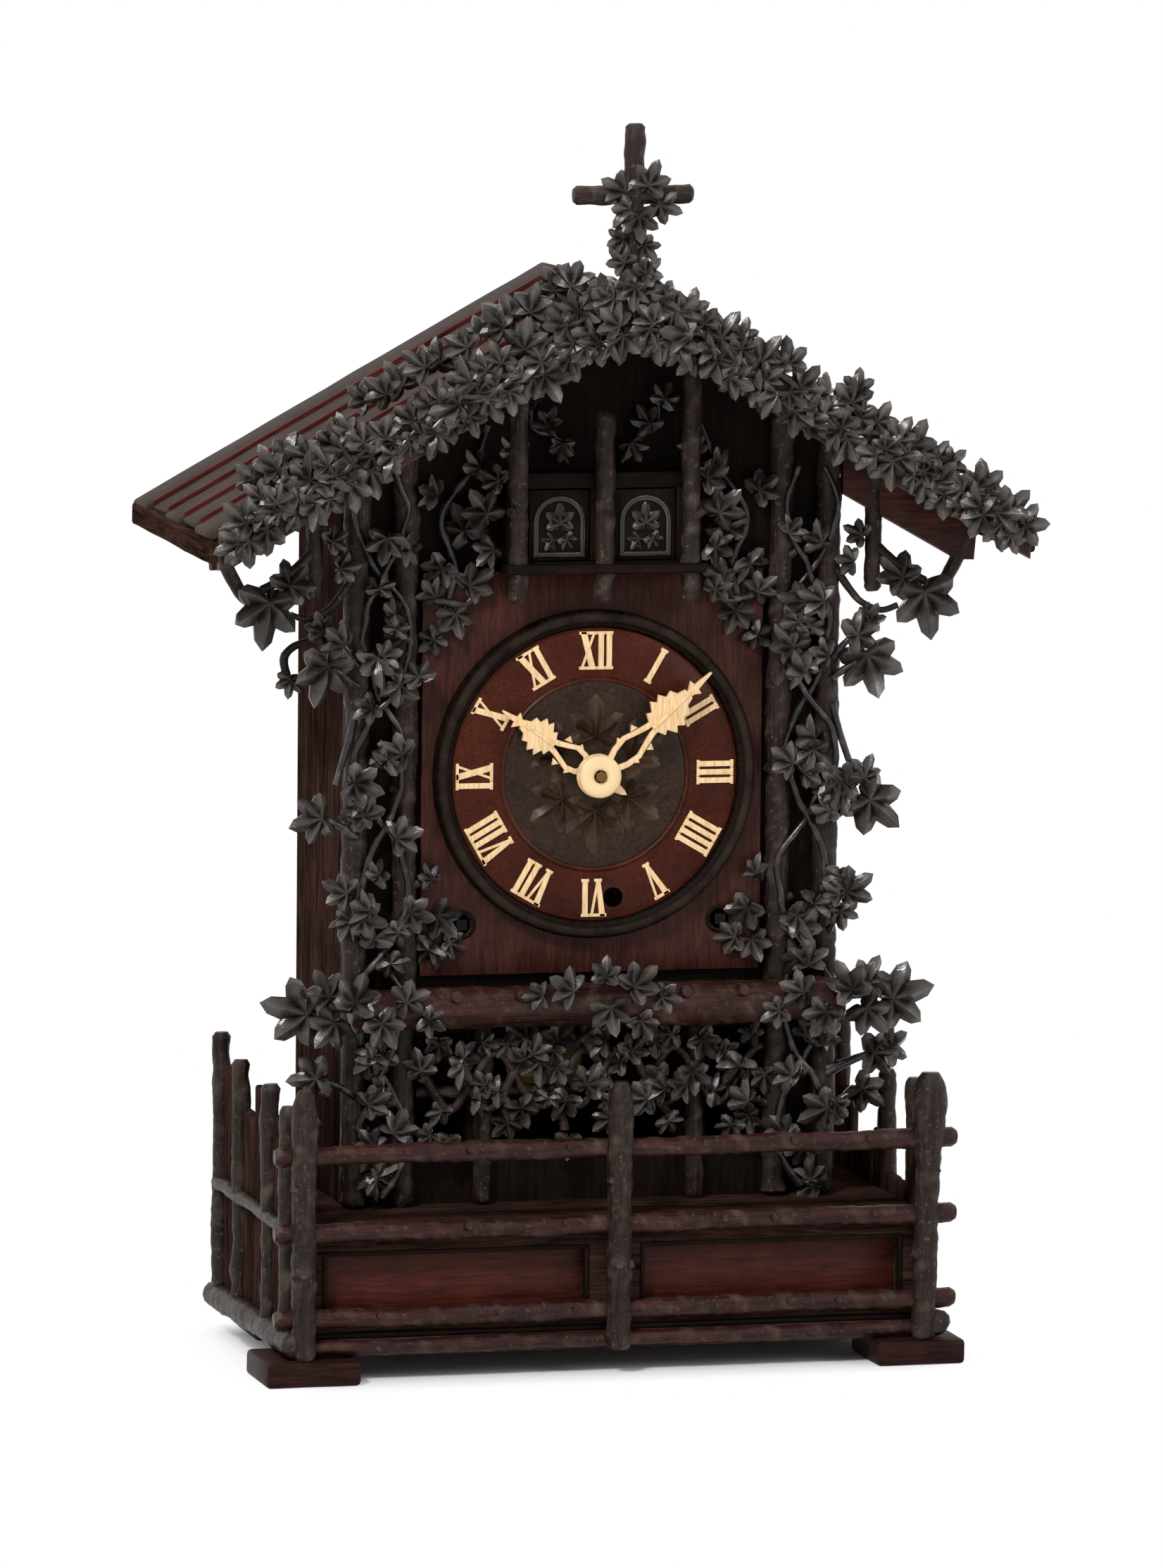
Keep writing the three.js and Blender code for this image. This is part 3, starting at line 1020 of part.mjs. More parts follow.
function buildMotionWork(cannonFront) {
  const hourModule = (2 * MOTION_CENTRES) / (MINUTE_LEAVES + HOUR_TEETH);
  const hourFront = CASE_INNER_Y + 0.6;
  const outward = direction(CENTRE, MINUTE);
  const inward = outward + Math.PI;
  const minute = join(
    arbor(MINUTE, ARBOR_RADIUS, hourFront, TRAIN_FRONT_Y),
    gear(MINUTE, MINUTE_TEETH, cannonModule(), inward, WHEEL_TOOTH, cannonFront + 0.4, cannonFront + 2.6),
    pinion(MINUTE, MINUTE_LEAVES, hourModule, inward, hourFront, cannonFront + 1),
  );
  piece("minute_wheel", minute, BRASS);
  const pipeFront = HOUR_HAND_Y - HAND_THICKNESS - 0.5;
  const hour = join(
    gear(CENTRE, HOUR_TEETH, hourModule, outward, WHEEL_TOOTH, hourFront, hourFront + WHEEL_THICKNESS),
    bar(CENTRE, HOUR_PIPE, pipeFront, hourFront + 1, 12),
  );
  const bore = bar(CENTRE, CENTRE_ARBOR_RADIUS + PLAY, pipeFront - 1, hourFront + 4, 12);
  piece("hour_wheel", cut(hour, bore), BRASS);
}

function buildEscapement(escapeFront) {
  const reach = PALLET_REACH;
  const drop = PALLET_DROP;
  const z = ANCHOR[1];
  const pallets = [
    [-reach - 1.5, z - drop], [-reach + 1.5, z - drop - 1], [-9, z - 4], [0, z - 3], [9, z - 4],
    [reach - 1.5, z - drop - 1], [reach + 1.5, z - drop], [10, z], [0, z + 3.5], [-10, z],
  ];
  const crutchFront = PLATE_BACK_Y + 1.5;
  const forkZ = z - CRUTCH_LENGTH;
  const forkX = ROD_RADIUS + SEAT + 1;
  const anchor = join(
    arbor(ANCHOR, ARBOR_RADIUS, FRONT_PLATE_Y, crutchFront + 2),
    plate(pallets, escapeFront, escapeFront + 2),
    block(-1.5, 1.5, crutchFront, crutchFront + 2, forkZ - 1.5, z),
    block(-forkX - 1, forkX + 1, crutchFront, crutchFront + 2, forkZ - 1.5, forkZ + 1.5),
    [forkX, -forkX].map((x) => bar([x, forkZ], 1, crutchFront + 1, SUSPENSION_Y + 3, 6)),
  );
  piece("anchor", anchor, STEEL);
  const bobZ = z - PENDULUM_LENGTH;
  const bob = turned(
    [
      [0, SUSPENSION_Y - BOB_THICKNESS / 2], [BOB_RADIUS, SUSPENSION_Y - BOB_THICKNESS / 8],
      [BOB_RADIUS, SUSPENSION_Y + BOB_THICKNESS / 8], [0, SUSPENSION_Y + BOB_THICKNESS / 2],
    ],
    [0, bobZ], 20,
  );
  const pendulum = join(
    cut(
      bar(ANCHOR, SUSPENSION_PIN + 3, SUSPENSION_Y - 1.5, SUSPENSION_Y + 1.5, 12),
      bar(ANCHOR, SUSPENSION_PIN + SEAT, SUSPENSION_Y - 3, SUSPENSION_Y + 3),
    ),
    rod(
      point(0, SUSPENSION_Y, bobZ - BOB_RADIUS - 5), point(0, SUSPENSION_Y, z - SUSPENSION_PIN - 1.5),
      ROD_RADIUS,
    ),
    bob,
  );
  piece("pendulum", pendulum, BRASS);
}

buildBase();
buildFence();
buildCase();
buildRoof();
buildFrontCarving();
buildDial();
buildDoors();
buildBellows();
buildPlates();
buildTrain();

export default clock;
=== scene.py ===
"""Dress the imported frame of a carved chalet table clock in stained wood, ivy, bone and brass."""

import json
import logging
import random
from dataclasses import dataclass
from enum import Enum
from functools import partial
from math import cos, pi, radians, sin, tan
from typing import Iterable, Sequence

import bmesh
import bpy
from bmesh.types import BMEdge, BMVert, BMesh
from bpy.types import ID, Material, Mesh, Node, NodeSocket, NodeTree, Object
from mathutils import Matrix, Vector, noise

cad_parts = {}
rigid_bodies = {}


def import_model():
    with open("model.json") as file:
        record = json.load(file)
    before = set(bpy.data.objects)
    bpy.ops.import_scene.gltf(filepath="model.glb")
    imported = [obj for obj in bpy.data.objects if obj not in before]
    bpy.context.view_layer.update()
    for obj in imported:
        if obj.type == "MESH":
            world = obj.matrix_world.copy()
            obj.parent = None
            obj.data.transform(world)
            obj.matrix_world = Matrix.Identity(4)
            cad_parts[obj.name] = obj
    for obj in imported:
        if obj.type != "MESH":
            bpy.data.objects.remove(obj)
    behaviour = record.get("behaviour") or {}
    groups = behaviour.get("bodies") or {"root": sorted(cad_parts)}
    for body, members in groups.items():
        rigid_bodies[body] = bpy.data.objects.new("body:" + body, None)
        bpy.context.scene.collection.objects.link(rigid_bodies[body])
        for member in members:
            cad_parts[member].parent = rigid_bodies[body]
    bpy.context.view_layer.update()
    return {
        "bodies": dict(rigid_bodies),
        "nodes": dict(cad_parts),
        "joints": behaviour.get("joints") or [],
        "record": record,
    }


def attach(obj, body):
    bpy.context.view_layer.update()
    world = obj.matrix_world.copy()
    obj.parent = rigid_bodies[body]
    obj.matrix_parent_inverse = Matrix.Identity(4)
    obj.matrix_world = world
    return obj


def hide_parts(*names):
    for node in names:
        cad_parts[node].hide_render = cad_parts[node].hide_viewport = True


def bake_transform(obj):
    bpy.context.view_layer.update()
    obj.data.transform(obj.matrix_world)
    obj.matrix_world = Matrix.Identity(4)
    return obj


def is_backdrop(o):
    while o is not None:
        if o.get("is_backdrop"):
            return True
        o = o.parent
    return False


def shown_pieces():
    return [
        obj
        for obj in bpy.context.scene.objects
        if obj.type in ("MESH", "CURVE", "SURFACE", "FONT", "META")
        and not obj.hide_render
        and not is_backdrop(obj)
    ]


LOG = logging.getLogger("clock")
# Sizes are in millimetres where no other unit is named: x to the right, y to the back, z up from the floor.
MM = 0.001
PHOTO_HEIGHT = 2227
ROOF_PITCH = radians(29.3)
RIDGE_Z = 453.0
DIAL_Z = 246.0
ROOF_COVER = 8.4
SEED = 9
LEAF_GRAIN_MM = 13
FLAT_ANGLE = radians(1)
SHARP_ANGLE = radians(35)
SIDES = {"right": 1, "left": -1}

Point = tuple[float, float, float]
Flat = tuple[float, float]


class Body(Enum):
    """The frame's moving bodies that carry a piece."""

    CASE = "case"
    MINUTE = "minute_hand_work"
    HOUR = "hour_hand_work"
    CUCKOO = "cuckoo"
    QUAIL = "quail"
    DOOR_RIGHT = "door_right"
    DOOR_LEFT = "door_left"
    BELLOWS_RIGHT = "bellows_top_right"
    BELLOWS_LEFT = "bellows_top_left"
    REAR_DOOR = "rear_door"


class Axis(Enum):
    """The way the grain runs in a board."""

    X = 0
    Y = 1
    Z = 2


def linear(colour: str) -> tuple[float, float, float, float]:
    """Turn an sRGB hex colour into linear light.

    Args:
        colour: The colour as #rrggbb.

    Returns:
        Red, green, blue and an alpha of one.
    """
    parts = [int(colour[i : i + 2], 16) / 255 for i in (1, 3, 5)]
    light = [c / 12.92 if c <= 0.04045 else ((c + 0.055) / 1.055) ** 2.4 for c in parts]
    return light[0], light[1], light[2], 1.0


def wire(tree: NodeTree, node: Node, inputs: dict) -> None:
    """Set or link a node's inputs.

    Args:
        tree: The tree that holds the node.
        node: The node.
        inputs: Input name or number to a value, or to the output it is linked from.
    """
    for key, value in inputs.items():
        if isinstance(value, NodeSocket):
            tree.links.new(value, node.inputs[key])
        else:
            node.inputs[key].default_value = value


def add(
    tree: NodeTree, kind: str, inputs: dict | None = None, out: str = "", **settings: object,
) -> NodeSocket:
    """Add a node, set its properties, and set or link its inputs.

    Args:
        tree: The tree that gets the node.
        kind: The node's type name.
        inputs: Input name or number to a value, or to the output it is linked from.
        out: The output to give, or else the first in use.
        settings: Properties of the node itself.

    Returns:
        That output of the new node.
    """
    node = tree.nodes.new(kind)
    for name, value in settings.items():
        setattr(node, name, value)
    wire(tree, node, inputs or {})
    return node.outputs[out] if out else next(output for output in node.outputs if output.enabled)


def new_material(name: str) -> tuple[Material, NodeTree, Node]:
    """Make an empty node material.

    Args:
        name: The material's name.

    Returns:
        The material, its node tree and its shader node.
    """
    material = bpy.data.materials.new(name)
    material.use_nodes = True
    return material, material.node_tree, material.node_tree.nodes["Principled BSDF"]


@dataclass(frozen=True)
class WoodFinish:
    """Stained and waxed wood: streaks along the grain, fine pores, and a paler colour on crests and rounded
    edges that is partly real scuffing and partly a painted highlight.
    """

    name: str
    deep: str
    pale: str
    # Paler colour of crests and rounded edges: partly real scuffing, partly a painted highlight.
    wear_and_highlight: str
    figure_mm: float = 2.2
    roughness: tuple[float, float] = (0.36, 0.58)
    specular: float = 0.2
    relief_mm: float = 0.35
    # How strongly the crests take that paler colour.
    wear_and_highlight_strength: float = 0.5
    flecks: float = 0.0
    streak_ratio: float = 13.0
    blotch_mm: float = 16.0
    fleck_mm: float = 2.3
    pores_per_m: Point = (2000, 2000, 110)

    def build(self) -> Material:
        """Make the material.

        Returns:
            The material.
        """
        material, tree, shader = new_material(self.name)
        place = add(tree, "ShaderNodeAttribute", out="Vector", attribute_name="grain")
        across = 1 / (self.figure_mm * MM)
        scale = (across, across, across / self.streak_ratio)
        streaks = add(tree, "ShaderNodeMapping", {"Vector": place, "Scale": scale})
        figure = add(
            tree, "ShaderNodeTexNoise",
            {"Vector": streaks, "Scale": 1.0, "Detail": 5.0, "Roughness": 0.62, "Distortion": 0.7},
        )
        # Pores are about 0.15 mm wide on the wood, and drawn at 0.5 mm so that they show.
        lines = add(tree, "ShaderNodeMapping", {"Vector": place, "Scale": self.pores_per_m})
        pores = add(tree, "ShaderNodeTexNoise", {"Vector": lines, "Scale": 1.0, "Detail": 2.0})
        blotch = add(
            tree, "ShaderNodeTexNoise",
            {"Vector": place, "Scale": 1 / (self.blotch_mm * MM), "Detail": 4.0, "Roughness": 0.6},
        )
        share = add(tree, "ShaderNodeMapRange", {0: figure, 1: 0.33, 2: 0.68})
        stain = add(
            tree, "ShaderNodeMix", {0: share, 6: linear(self.deep), 7: linear(self.pale)}, data_type="RGBA",
        )
        dim = add(tree, "ShaderNodeMapRange", {0: blotch, 1: 0.3, 2: 0.7, 3: 0.62, 4: 1.15})
        pore_dim = add(tree, "ShaderNodeMapRange", {0: pores, 1: 0.36, 2: 0.5, 3: 0.7, 4: 1.0})
        shade = add(tree, "ShaderNodeMath", {0: dim, 1: pore_dim}, operation="MULTIPLY")
        toned = add(
            tree, "ShaderNodeMix", {0: 1.0, 6: stain, 7: shade}, data_type="RGBA", blend_type="MULTIPLY",
        )
        # Crests, rounded edges and flecks are painted paler: partly real scuffing, partly a painted
        # highlight.
        crest = add(tree, "ShaderNodeAttribute", out="Fac", attribute_name="crest")
        patchy_wear_and_highlight = add(tree, "ShaderNodeMapRange", {0: blotch, 1: 0.38, 2: 0.66, 3: 0.15, 4: 1.0})
        wear_and_highlight = add(tree, "ShaderNodeMath", {0: crest, 1: patchy_wear_and_highlight}, operation="MULTIPLY")
        wear_and_highlight = add(tree, "ShaderNodeMath", {0: wear_and_highlight, 1: self.wear_and_highlight_strength}, operation="MULTIPLY", use_clamp=True)
        if self.flecks:
            spots = add(
                tree, "ShaderNodeTexNoise",
                {"Vector": place, "Scale": 1 / (self.fleck_mm * MM), "Detail": 2.0, "Roughness": 0.7},
            )
            bits = add(tree, "ShaderNodeMapRange", {0: spots, 1: 0.6, 2: 0.69, 3: 0.0, 4: self.flecks})
            wear_and_highlight = add(tree, "ShaderNodeMath", {0: wear_and_highlight, 1: bits}, operation="MAXIMUM")
        colour = add(tree, "ShaderNodeMix", {0: wear_and_highlight, 6: toned, 7: linear(self.wear_and_highlight)}, data_type="RGBA")
        low, high = self.roughness
        rough = add(tree, "ShaderNodeMapRange", {0: figure, 1: 0.3, 2: 0.75, 3: low, 4: high})
        height = add(tree, "ShaderNodeMath", {0: figure, 1: pores}, operation="ADD")
        bump = add(
            tree, "ShaderNodeBump", {"Strength": 0.55, "Distance": self.relief_mm * MM, "Height": height},
        )
        wire(tree, shader, {
            "Base Color": colour, "Roughness": rough, "Normal": bump, "Specular IOR Level": self.specular,
        })
        return material


@dataclass(frozen=True)
class BoneFinish:
    """Carved bone: cream, with faint brown streaks and a soft satin."""

    name: str
    pale: str = "#efcf9f"
    deep: str = "#d9ad77"
    streaks_per_m: Point = (900, 900, 120)
    glow_m: Point = (0.002, 0.0012, 0.0008)

    def build(self) -> Material:
        """Make the material.

        Returns:
            The material.
        """
        material, tree, shader = new_material(self.name)
        place = add(tree, "ShaderNodeAttribute", out="Vector", attribute_name="grain")
        streaks = add(tree, "ShaderNodeMapping", {"Vector": place, "Scale": self.streaks_per_m})
        figure = add(tree, "ShaderNodeTexNoise", {"Vector": streaks, "Scale": 1.0, "Detail": 4.0})
        crest = add(tree, "ShaderNodeAttribute", out="Fac", attribute_name="crest")
        share = add(tree, "ShaderNodeMapRange", {0: figure, 1: 0.3, 2: 0.6})
        share = add(tree, "ShaderNodeMath", {0: share, 1: crest}, operation="MAXIMUM")
        colour = add(
            tree, "ShaderNodeMix", {0: share, 6: linear(self.deep), 7: linear(self.pale)}, data_type="RGBA",
        )
        bump = add(tree, "ShaderNodeBump", {"Strength": 0.3, "Distance": 0.1 * MM, "Height": figure})
        rough = add(tree, "ShaderNodeMapRange", {0: figure, 1: 0.3, 2: 0.7, 3: 0.36, 4: 0.5})
        wire(tree, shader, {
            "Base Color": colour, "Roughness": rough, "Normal": bump,
            "Subsurface Weight": 0.12, "Subsurface Radius": self.glow_m,
        })
        return material


@dataclass(frozen=True)
class MetalFinish:
    """Filed and lacquered metal: fine file marks, and darker tarnish in patches."""

    name: str
    bright: str
    tarnish: str
    roughness: float
    marks_per_m: Point = (1500, 300, 150)
    tarnish_mm: float = 24.0

    def build(self) -> Material:
        """Make the material.

        Returns:
            The material.
        """
        material, tree, shader = new_material(self.name)
        place = add(tree, "ShaderNodeTexCoord", out="Object")
        marks = add(tree, "ShaderNodeMapping", {"Vector": place, "Scale": self.marks_per_m})
        scratch = add(tree, "ShaderNodeTexNoise", {"Vector": marks, "Scale": 1.0, "Detail": 3.0})
        patch = add(
            tree, "ShaderNodeTexNoise", {"Vector": place, "Scale": 1 / (self.tarnish_mm * MM), "Detail": 5.0},
        )
        share = add(tree, "ShaderNodeMapRange", {0: patch, 1: 0.35, 2: 0.8})
        tones = {6: linear(self.bright), 7: linear(self.tarnish)}
        colour = add(tree, "ShaderNodeMix", {0: share, **tones}, data_type="RGBA")
        rough = add(
            tree, "ShaderNodeMapRange",
            {0: scratch, 1: 0.3, 2: 0.7, 3: self.roughness - 0.08, 4: self.roughness + 0.12},
        )
        bump = add(tree, "ShaderNodeBump", {"Strength": 0.2, "Distance": 0.05 * MM, "Height": scratch})
        wire(tree, shader, {"Base Color": colour, "Roughness": rough, "Normal": bump, "Metallic": 1.0})
        return material


@dataclass(frozen=True)
class LeatherFinish:
    """Thin kid leather of the bellows: fine pebbled grain and a dry sheen."""

    name: str
    pale: str = "#a98a63"
    deep: str = "#6b5138"
    pebble_mm: float = 0.9
    patch_mm: float = 6.0

    def build(self) -> Material:
        """Make the material.

        Returns:
            The material.
        """
        material, tree, shader = new_material(self.name)
        place = add(tree, "ShaderNodeTexCoord", out="Object")
        cells = add(tree, "ShaderNodeTexVoronoi", {"Vector": place, "Scale": 1 / (self.pebble_mm * MM)})
        patch = add(
            tree, "ShaderNodeTexNoise", {"Vector": place, "Scale": 1 / (self.patch_mm * MM), "Detail": 4.0},
        )
        colour = add(
            tree, "ShaderNodeMix", {0: patch, 6: linear(self.deep), 7: linear(self.pale)}, data_type="RGBA",
        )
        bump = add(tree, "ShaderNodeBump", {"Strength": 0.4, "Distance": 0.15 * MM, "Height": cells})
        wire(tree, shader, {"Base Color": colour, "Roughness": 0.72, "Normal": bump})
        return material


@dataclass(frozen=True)
class PlumageFinish:
    """Painted plumage: brushed barbs along the body over a paler breast."""

    name: str
    back: str
    breast: str
    barbs_per_m: Point = (1400, 1400, 300)

    def build(self) -> Material:
        """Make the material.

        Returns:
            The material.
        """
        material, tree, shader = new_material(self.name)
        place = add(tree, "ShaderNodeAttribute", out="Vector", attribute_name="grain")
        belly = add(tree, "ShaderNodeAttribute", out="Fac", attribute_name="crest")
        barbs = add(tree, "ShaderNodeMapping", {"Vector": place, "Scale": self.barbs_per_m})
        strokes = add(tree, "ShaderNodeTexNoise", {"Vector": barbs, "Scale": 1.0, "Detail": 3.0})
        base = add(
            tree, "ShaderNodeMix", {0: belly, 6: linear(self.back), 7: linear(self.breast)}, data_type="RGBA",
        )
        dim = add(tree, "ShaderNodeMapRange", {0: strokes, 1: 0.35, 2: 0.65, 3: 0.55, 4: 1.15})
        colour = add(
            tree, "ShaderNodeMix", {0: 1.0, 6: base, 7: dim}, data_type="RGBA", blend_type="MULTIPLY",
        )
        bump = add(tree, "ShaderNodeBump", {"Strength": 0.4, "Distance": 0.2 * MM, "Height": strokes})
        wire(tree, shader, {"Base Color": colour, "Roughness": 0.55, "Normal": bump})
        return material


class Stuff(Enum):
    """The finishes of this clock."""

    # Black lacquer over carved lime: small hard glints, and ridges painted paler, partly for real scuffing
    # and partly as a painted highlight.
    CARVING = WoodFinish(
        "ebonised_limewood", "#0f0b0a", "#292220", "#857c74", wear_and_highlight_strength=0.65, relief_mm=0.22,
        roughness=(0.12, 0.26), specular=0.4,
    )
    # Bark left on: dull and lumpy, with pale scuffs.
    TWIG = WoodFinish(
        "bark_on_hazel_twig", "#18100d", "#3a2b25", "#857a70", figure_mm=1.6, relief_mm=0.5, wear_and_highlight_strength=0.34,
        flecks=0.25, roughness=(0.34, 0.56), specular=0.16,
    )
    # Peeled log: reddish, with a soft sheen along its length.
    LOG = WoodFinish(
        "peeled_cherry_log", "#1f0e0b", "#452520", "#8a7a6e", figure_mm=1.9, relief_mm=0.35, wear_and_highlight_strength=0.3,
        flecks=0.16, roughness=(0.3, 0.46), specular=0.18,
    )
    # Black stain sunk into open fir: hardly any shine and a faint grain.
    BOARD = WoodFinish(
        "black_stained_fir", "#0b0706", "#21160f", "#40342d", figure_mm=1.8, wear_and_highlight_strength=0.5, specular=0.06,
        roughness=(0.5, 0.68),
    )
    # Brown stain on fir: flat and dry, darker along the grain.
    WALL = WoodFinish(
        "brown_stained_fir", "#1e1210", "#4b352e", "#6b554b", figure_mm=2.4, wear_and_highlight_strength=0.5, specular=0.0,
        roughness=(0.5, 0.68),
    )
    # Red stain on close-grained beech: warm and satin, the one strong colour.
    RED = WoodFinish(
        "red_stained_beech", "#37150e", "#57261c", "#7d5040", figure_mm=1.5, roughness=(0.34, 0.48),
        relief_mm=0.12, wear_and_highlight_strength=0.4, specular=0.14,
    )
    # Oiled mahogany: deep red-brown that stays dark seen edge on.
    MAHOGANY = WoodFinish(
        "dark_mahogany", "#2b120e", "#4c2820", "#6e4c40", figure_mm=1.5, roughness=(0.34, 0.5),
        relief_mm=0.12, wear_and_highlight_strength=0.4, specular=0.12,
    )
    # Stained beech rubbed by handling: brown at the corners.
    FOOT = WoodFinish(
        "dark_stained_beech", "#1e100e", "#38211d", "#5d463a", figure_mm=1.7, wear_and_highlight_strength=0.4, relief_mm=0.2,
        specular=0.06,
    )
    # Polished pear: an even red-brown ground that lets the bone stand out.
    DIAL = WoodFinish(
        "polished_pearwood", "#37140b", "#512314", "#6e4230", figure_mm=1.2, roughness=(0.28, 0.4),
        relief_mm=0.06, wear_and_highlight_strength=0.3, specular=0.1,
    )
    # Oiled walnut: olive-brown, with soft light on the cuts.
    WALNUT = WoodFinish(
        "carved_walnut", "#1e120c", "#3f2b1e", "#705842", figure_mm=1.4, roughness=(0.3, 0.46),
        relief_mm=0.15, wear_and_highlight_strength=0.5, specular=0.16,
    )
    # Roof board over long grain: its grey is a painted sheen, the sky's reflection put into the colour, since
    # the board has hardly any shine of its own.
    ROOF = WoodFinish(
        "roof_board_with_painted_sheen", "#261b17", "#4d3f38", "#6f655c", figure_mm=2.6, roughness=(0.5, 0.66),
        relief_mm=0.3, wear_and_highlight_strength=0.6, specular=0.06,
    )
    # Fir cut through its stain: a thin raw red line.
    GROOVE = WoodFinish(
        "raw_red_fir", "#3c1713", "#642923", "#7c4437", figure_mm=1.2, wear_and_highlight_strength=0.2, specular=0.06,
    )
    # Painted shade: a black disc that stands for the dark inside the regulator hole, with nothing shining
    # back.
    PAINTED_HOLE_SHADE = WoodFinish("painted_hole_shade", "#020101", "#060404", "#0a0706", wear_and_highlight_strength=0.1, specular=0.0)
    # Bare planed pine: pale yellow and matt.
    PINE = WoodFinish("planed_pine", "#8a6437", "#b08a58", "#c7a778", figure_mm=1.9, roughness=(0.5, 0.68))
    # Bone: warm white that lets a little light in.
    BONE = BoneFinish("carved_bone")
    # Brass under years of tarnish: brown gold with a broken shine, darkened further as painted shade so that
    # the pendulum behind the lattice stays dark.
    BRASS = MetalFinish("aged_brass_with_painted_shade", "#866838", "#523d20", 0.4)
    # Blued steel: near black with a cold edge, darkened past its own blue as painted shade so that the arbor
    # ends read as the dark of the winding holes.
    STEEL = MetalFinish("blued_steel_with_painted_shade", "#1e1f22", "#121315", 0.36)
    # Kid leather: soft and wrinkled, paler in patches.
    LEATHER = LeatherFinish("kid_leather")
    # Paint on carved wood: a grey back and a pale breast.
    CUCKOO = PlumageFinish("cuckoo_paint", "#4c4a4c", "#b8b2a4")
    # Paint on carved wood: a brown back and a buff breast.
    QUAIL = PlumageFinish("quail_paint", "#5a4027", "#b7905e")


def round_edges(part: BMesh, edges: Iterable[BMEdge], radius: float) -> dict[BMVert, float]:
    """Round a part's edges.

    Args:
        part: The part.
        edges: The edges to round.
        radius: How far the rounds reach.

    Returns:
        The corners that lie on a round, each fully marked for the paler crest colour, partly real scuffing
        and partly a painted highlight.
    """
    made = bmesh.ops.bevel(
        part, geom=list(edges), offset=radius, offset_type="OFFSET", segments=2, profile=0.5, affect="EDGES",
        clamp_overlap=True,
    )
    rounds = set(made["faces"])
    return {v: 1.0 for v in part.verts if all(f in rounds for f in v.link_faces)}


def skin(part: BMesh, rings: Sequence[Sequence[BMVert]]) -> None:
    """Span faces from each ring of corners to the next.

    Args:
        part: The part that gets the faces.
        rings: The rings, each with as many corners.
    """
    for before, after in zip(rings, rings[1:]):
        for i in range(len(before)):
            n = (i + 1) % len(before)
            part.faces.new((before[i], before[n], after[n], after[i]))


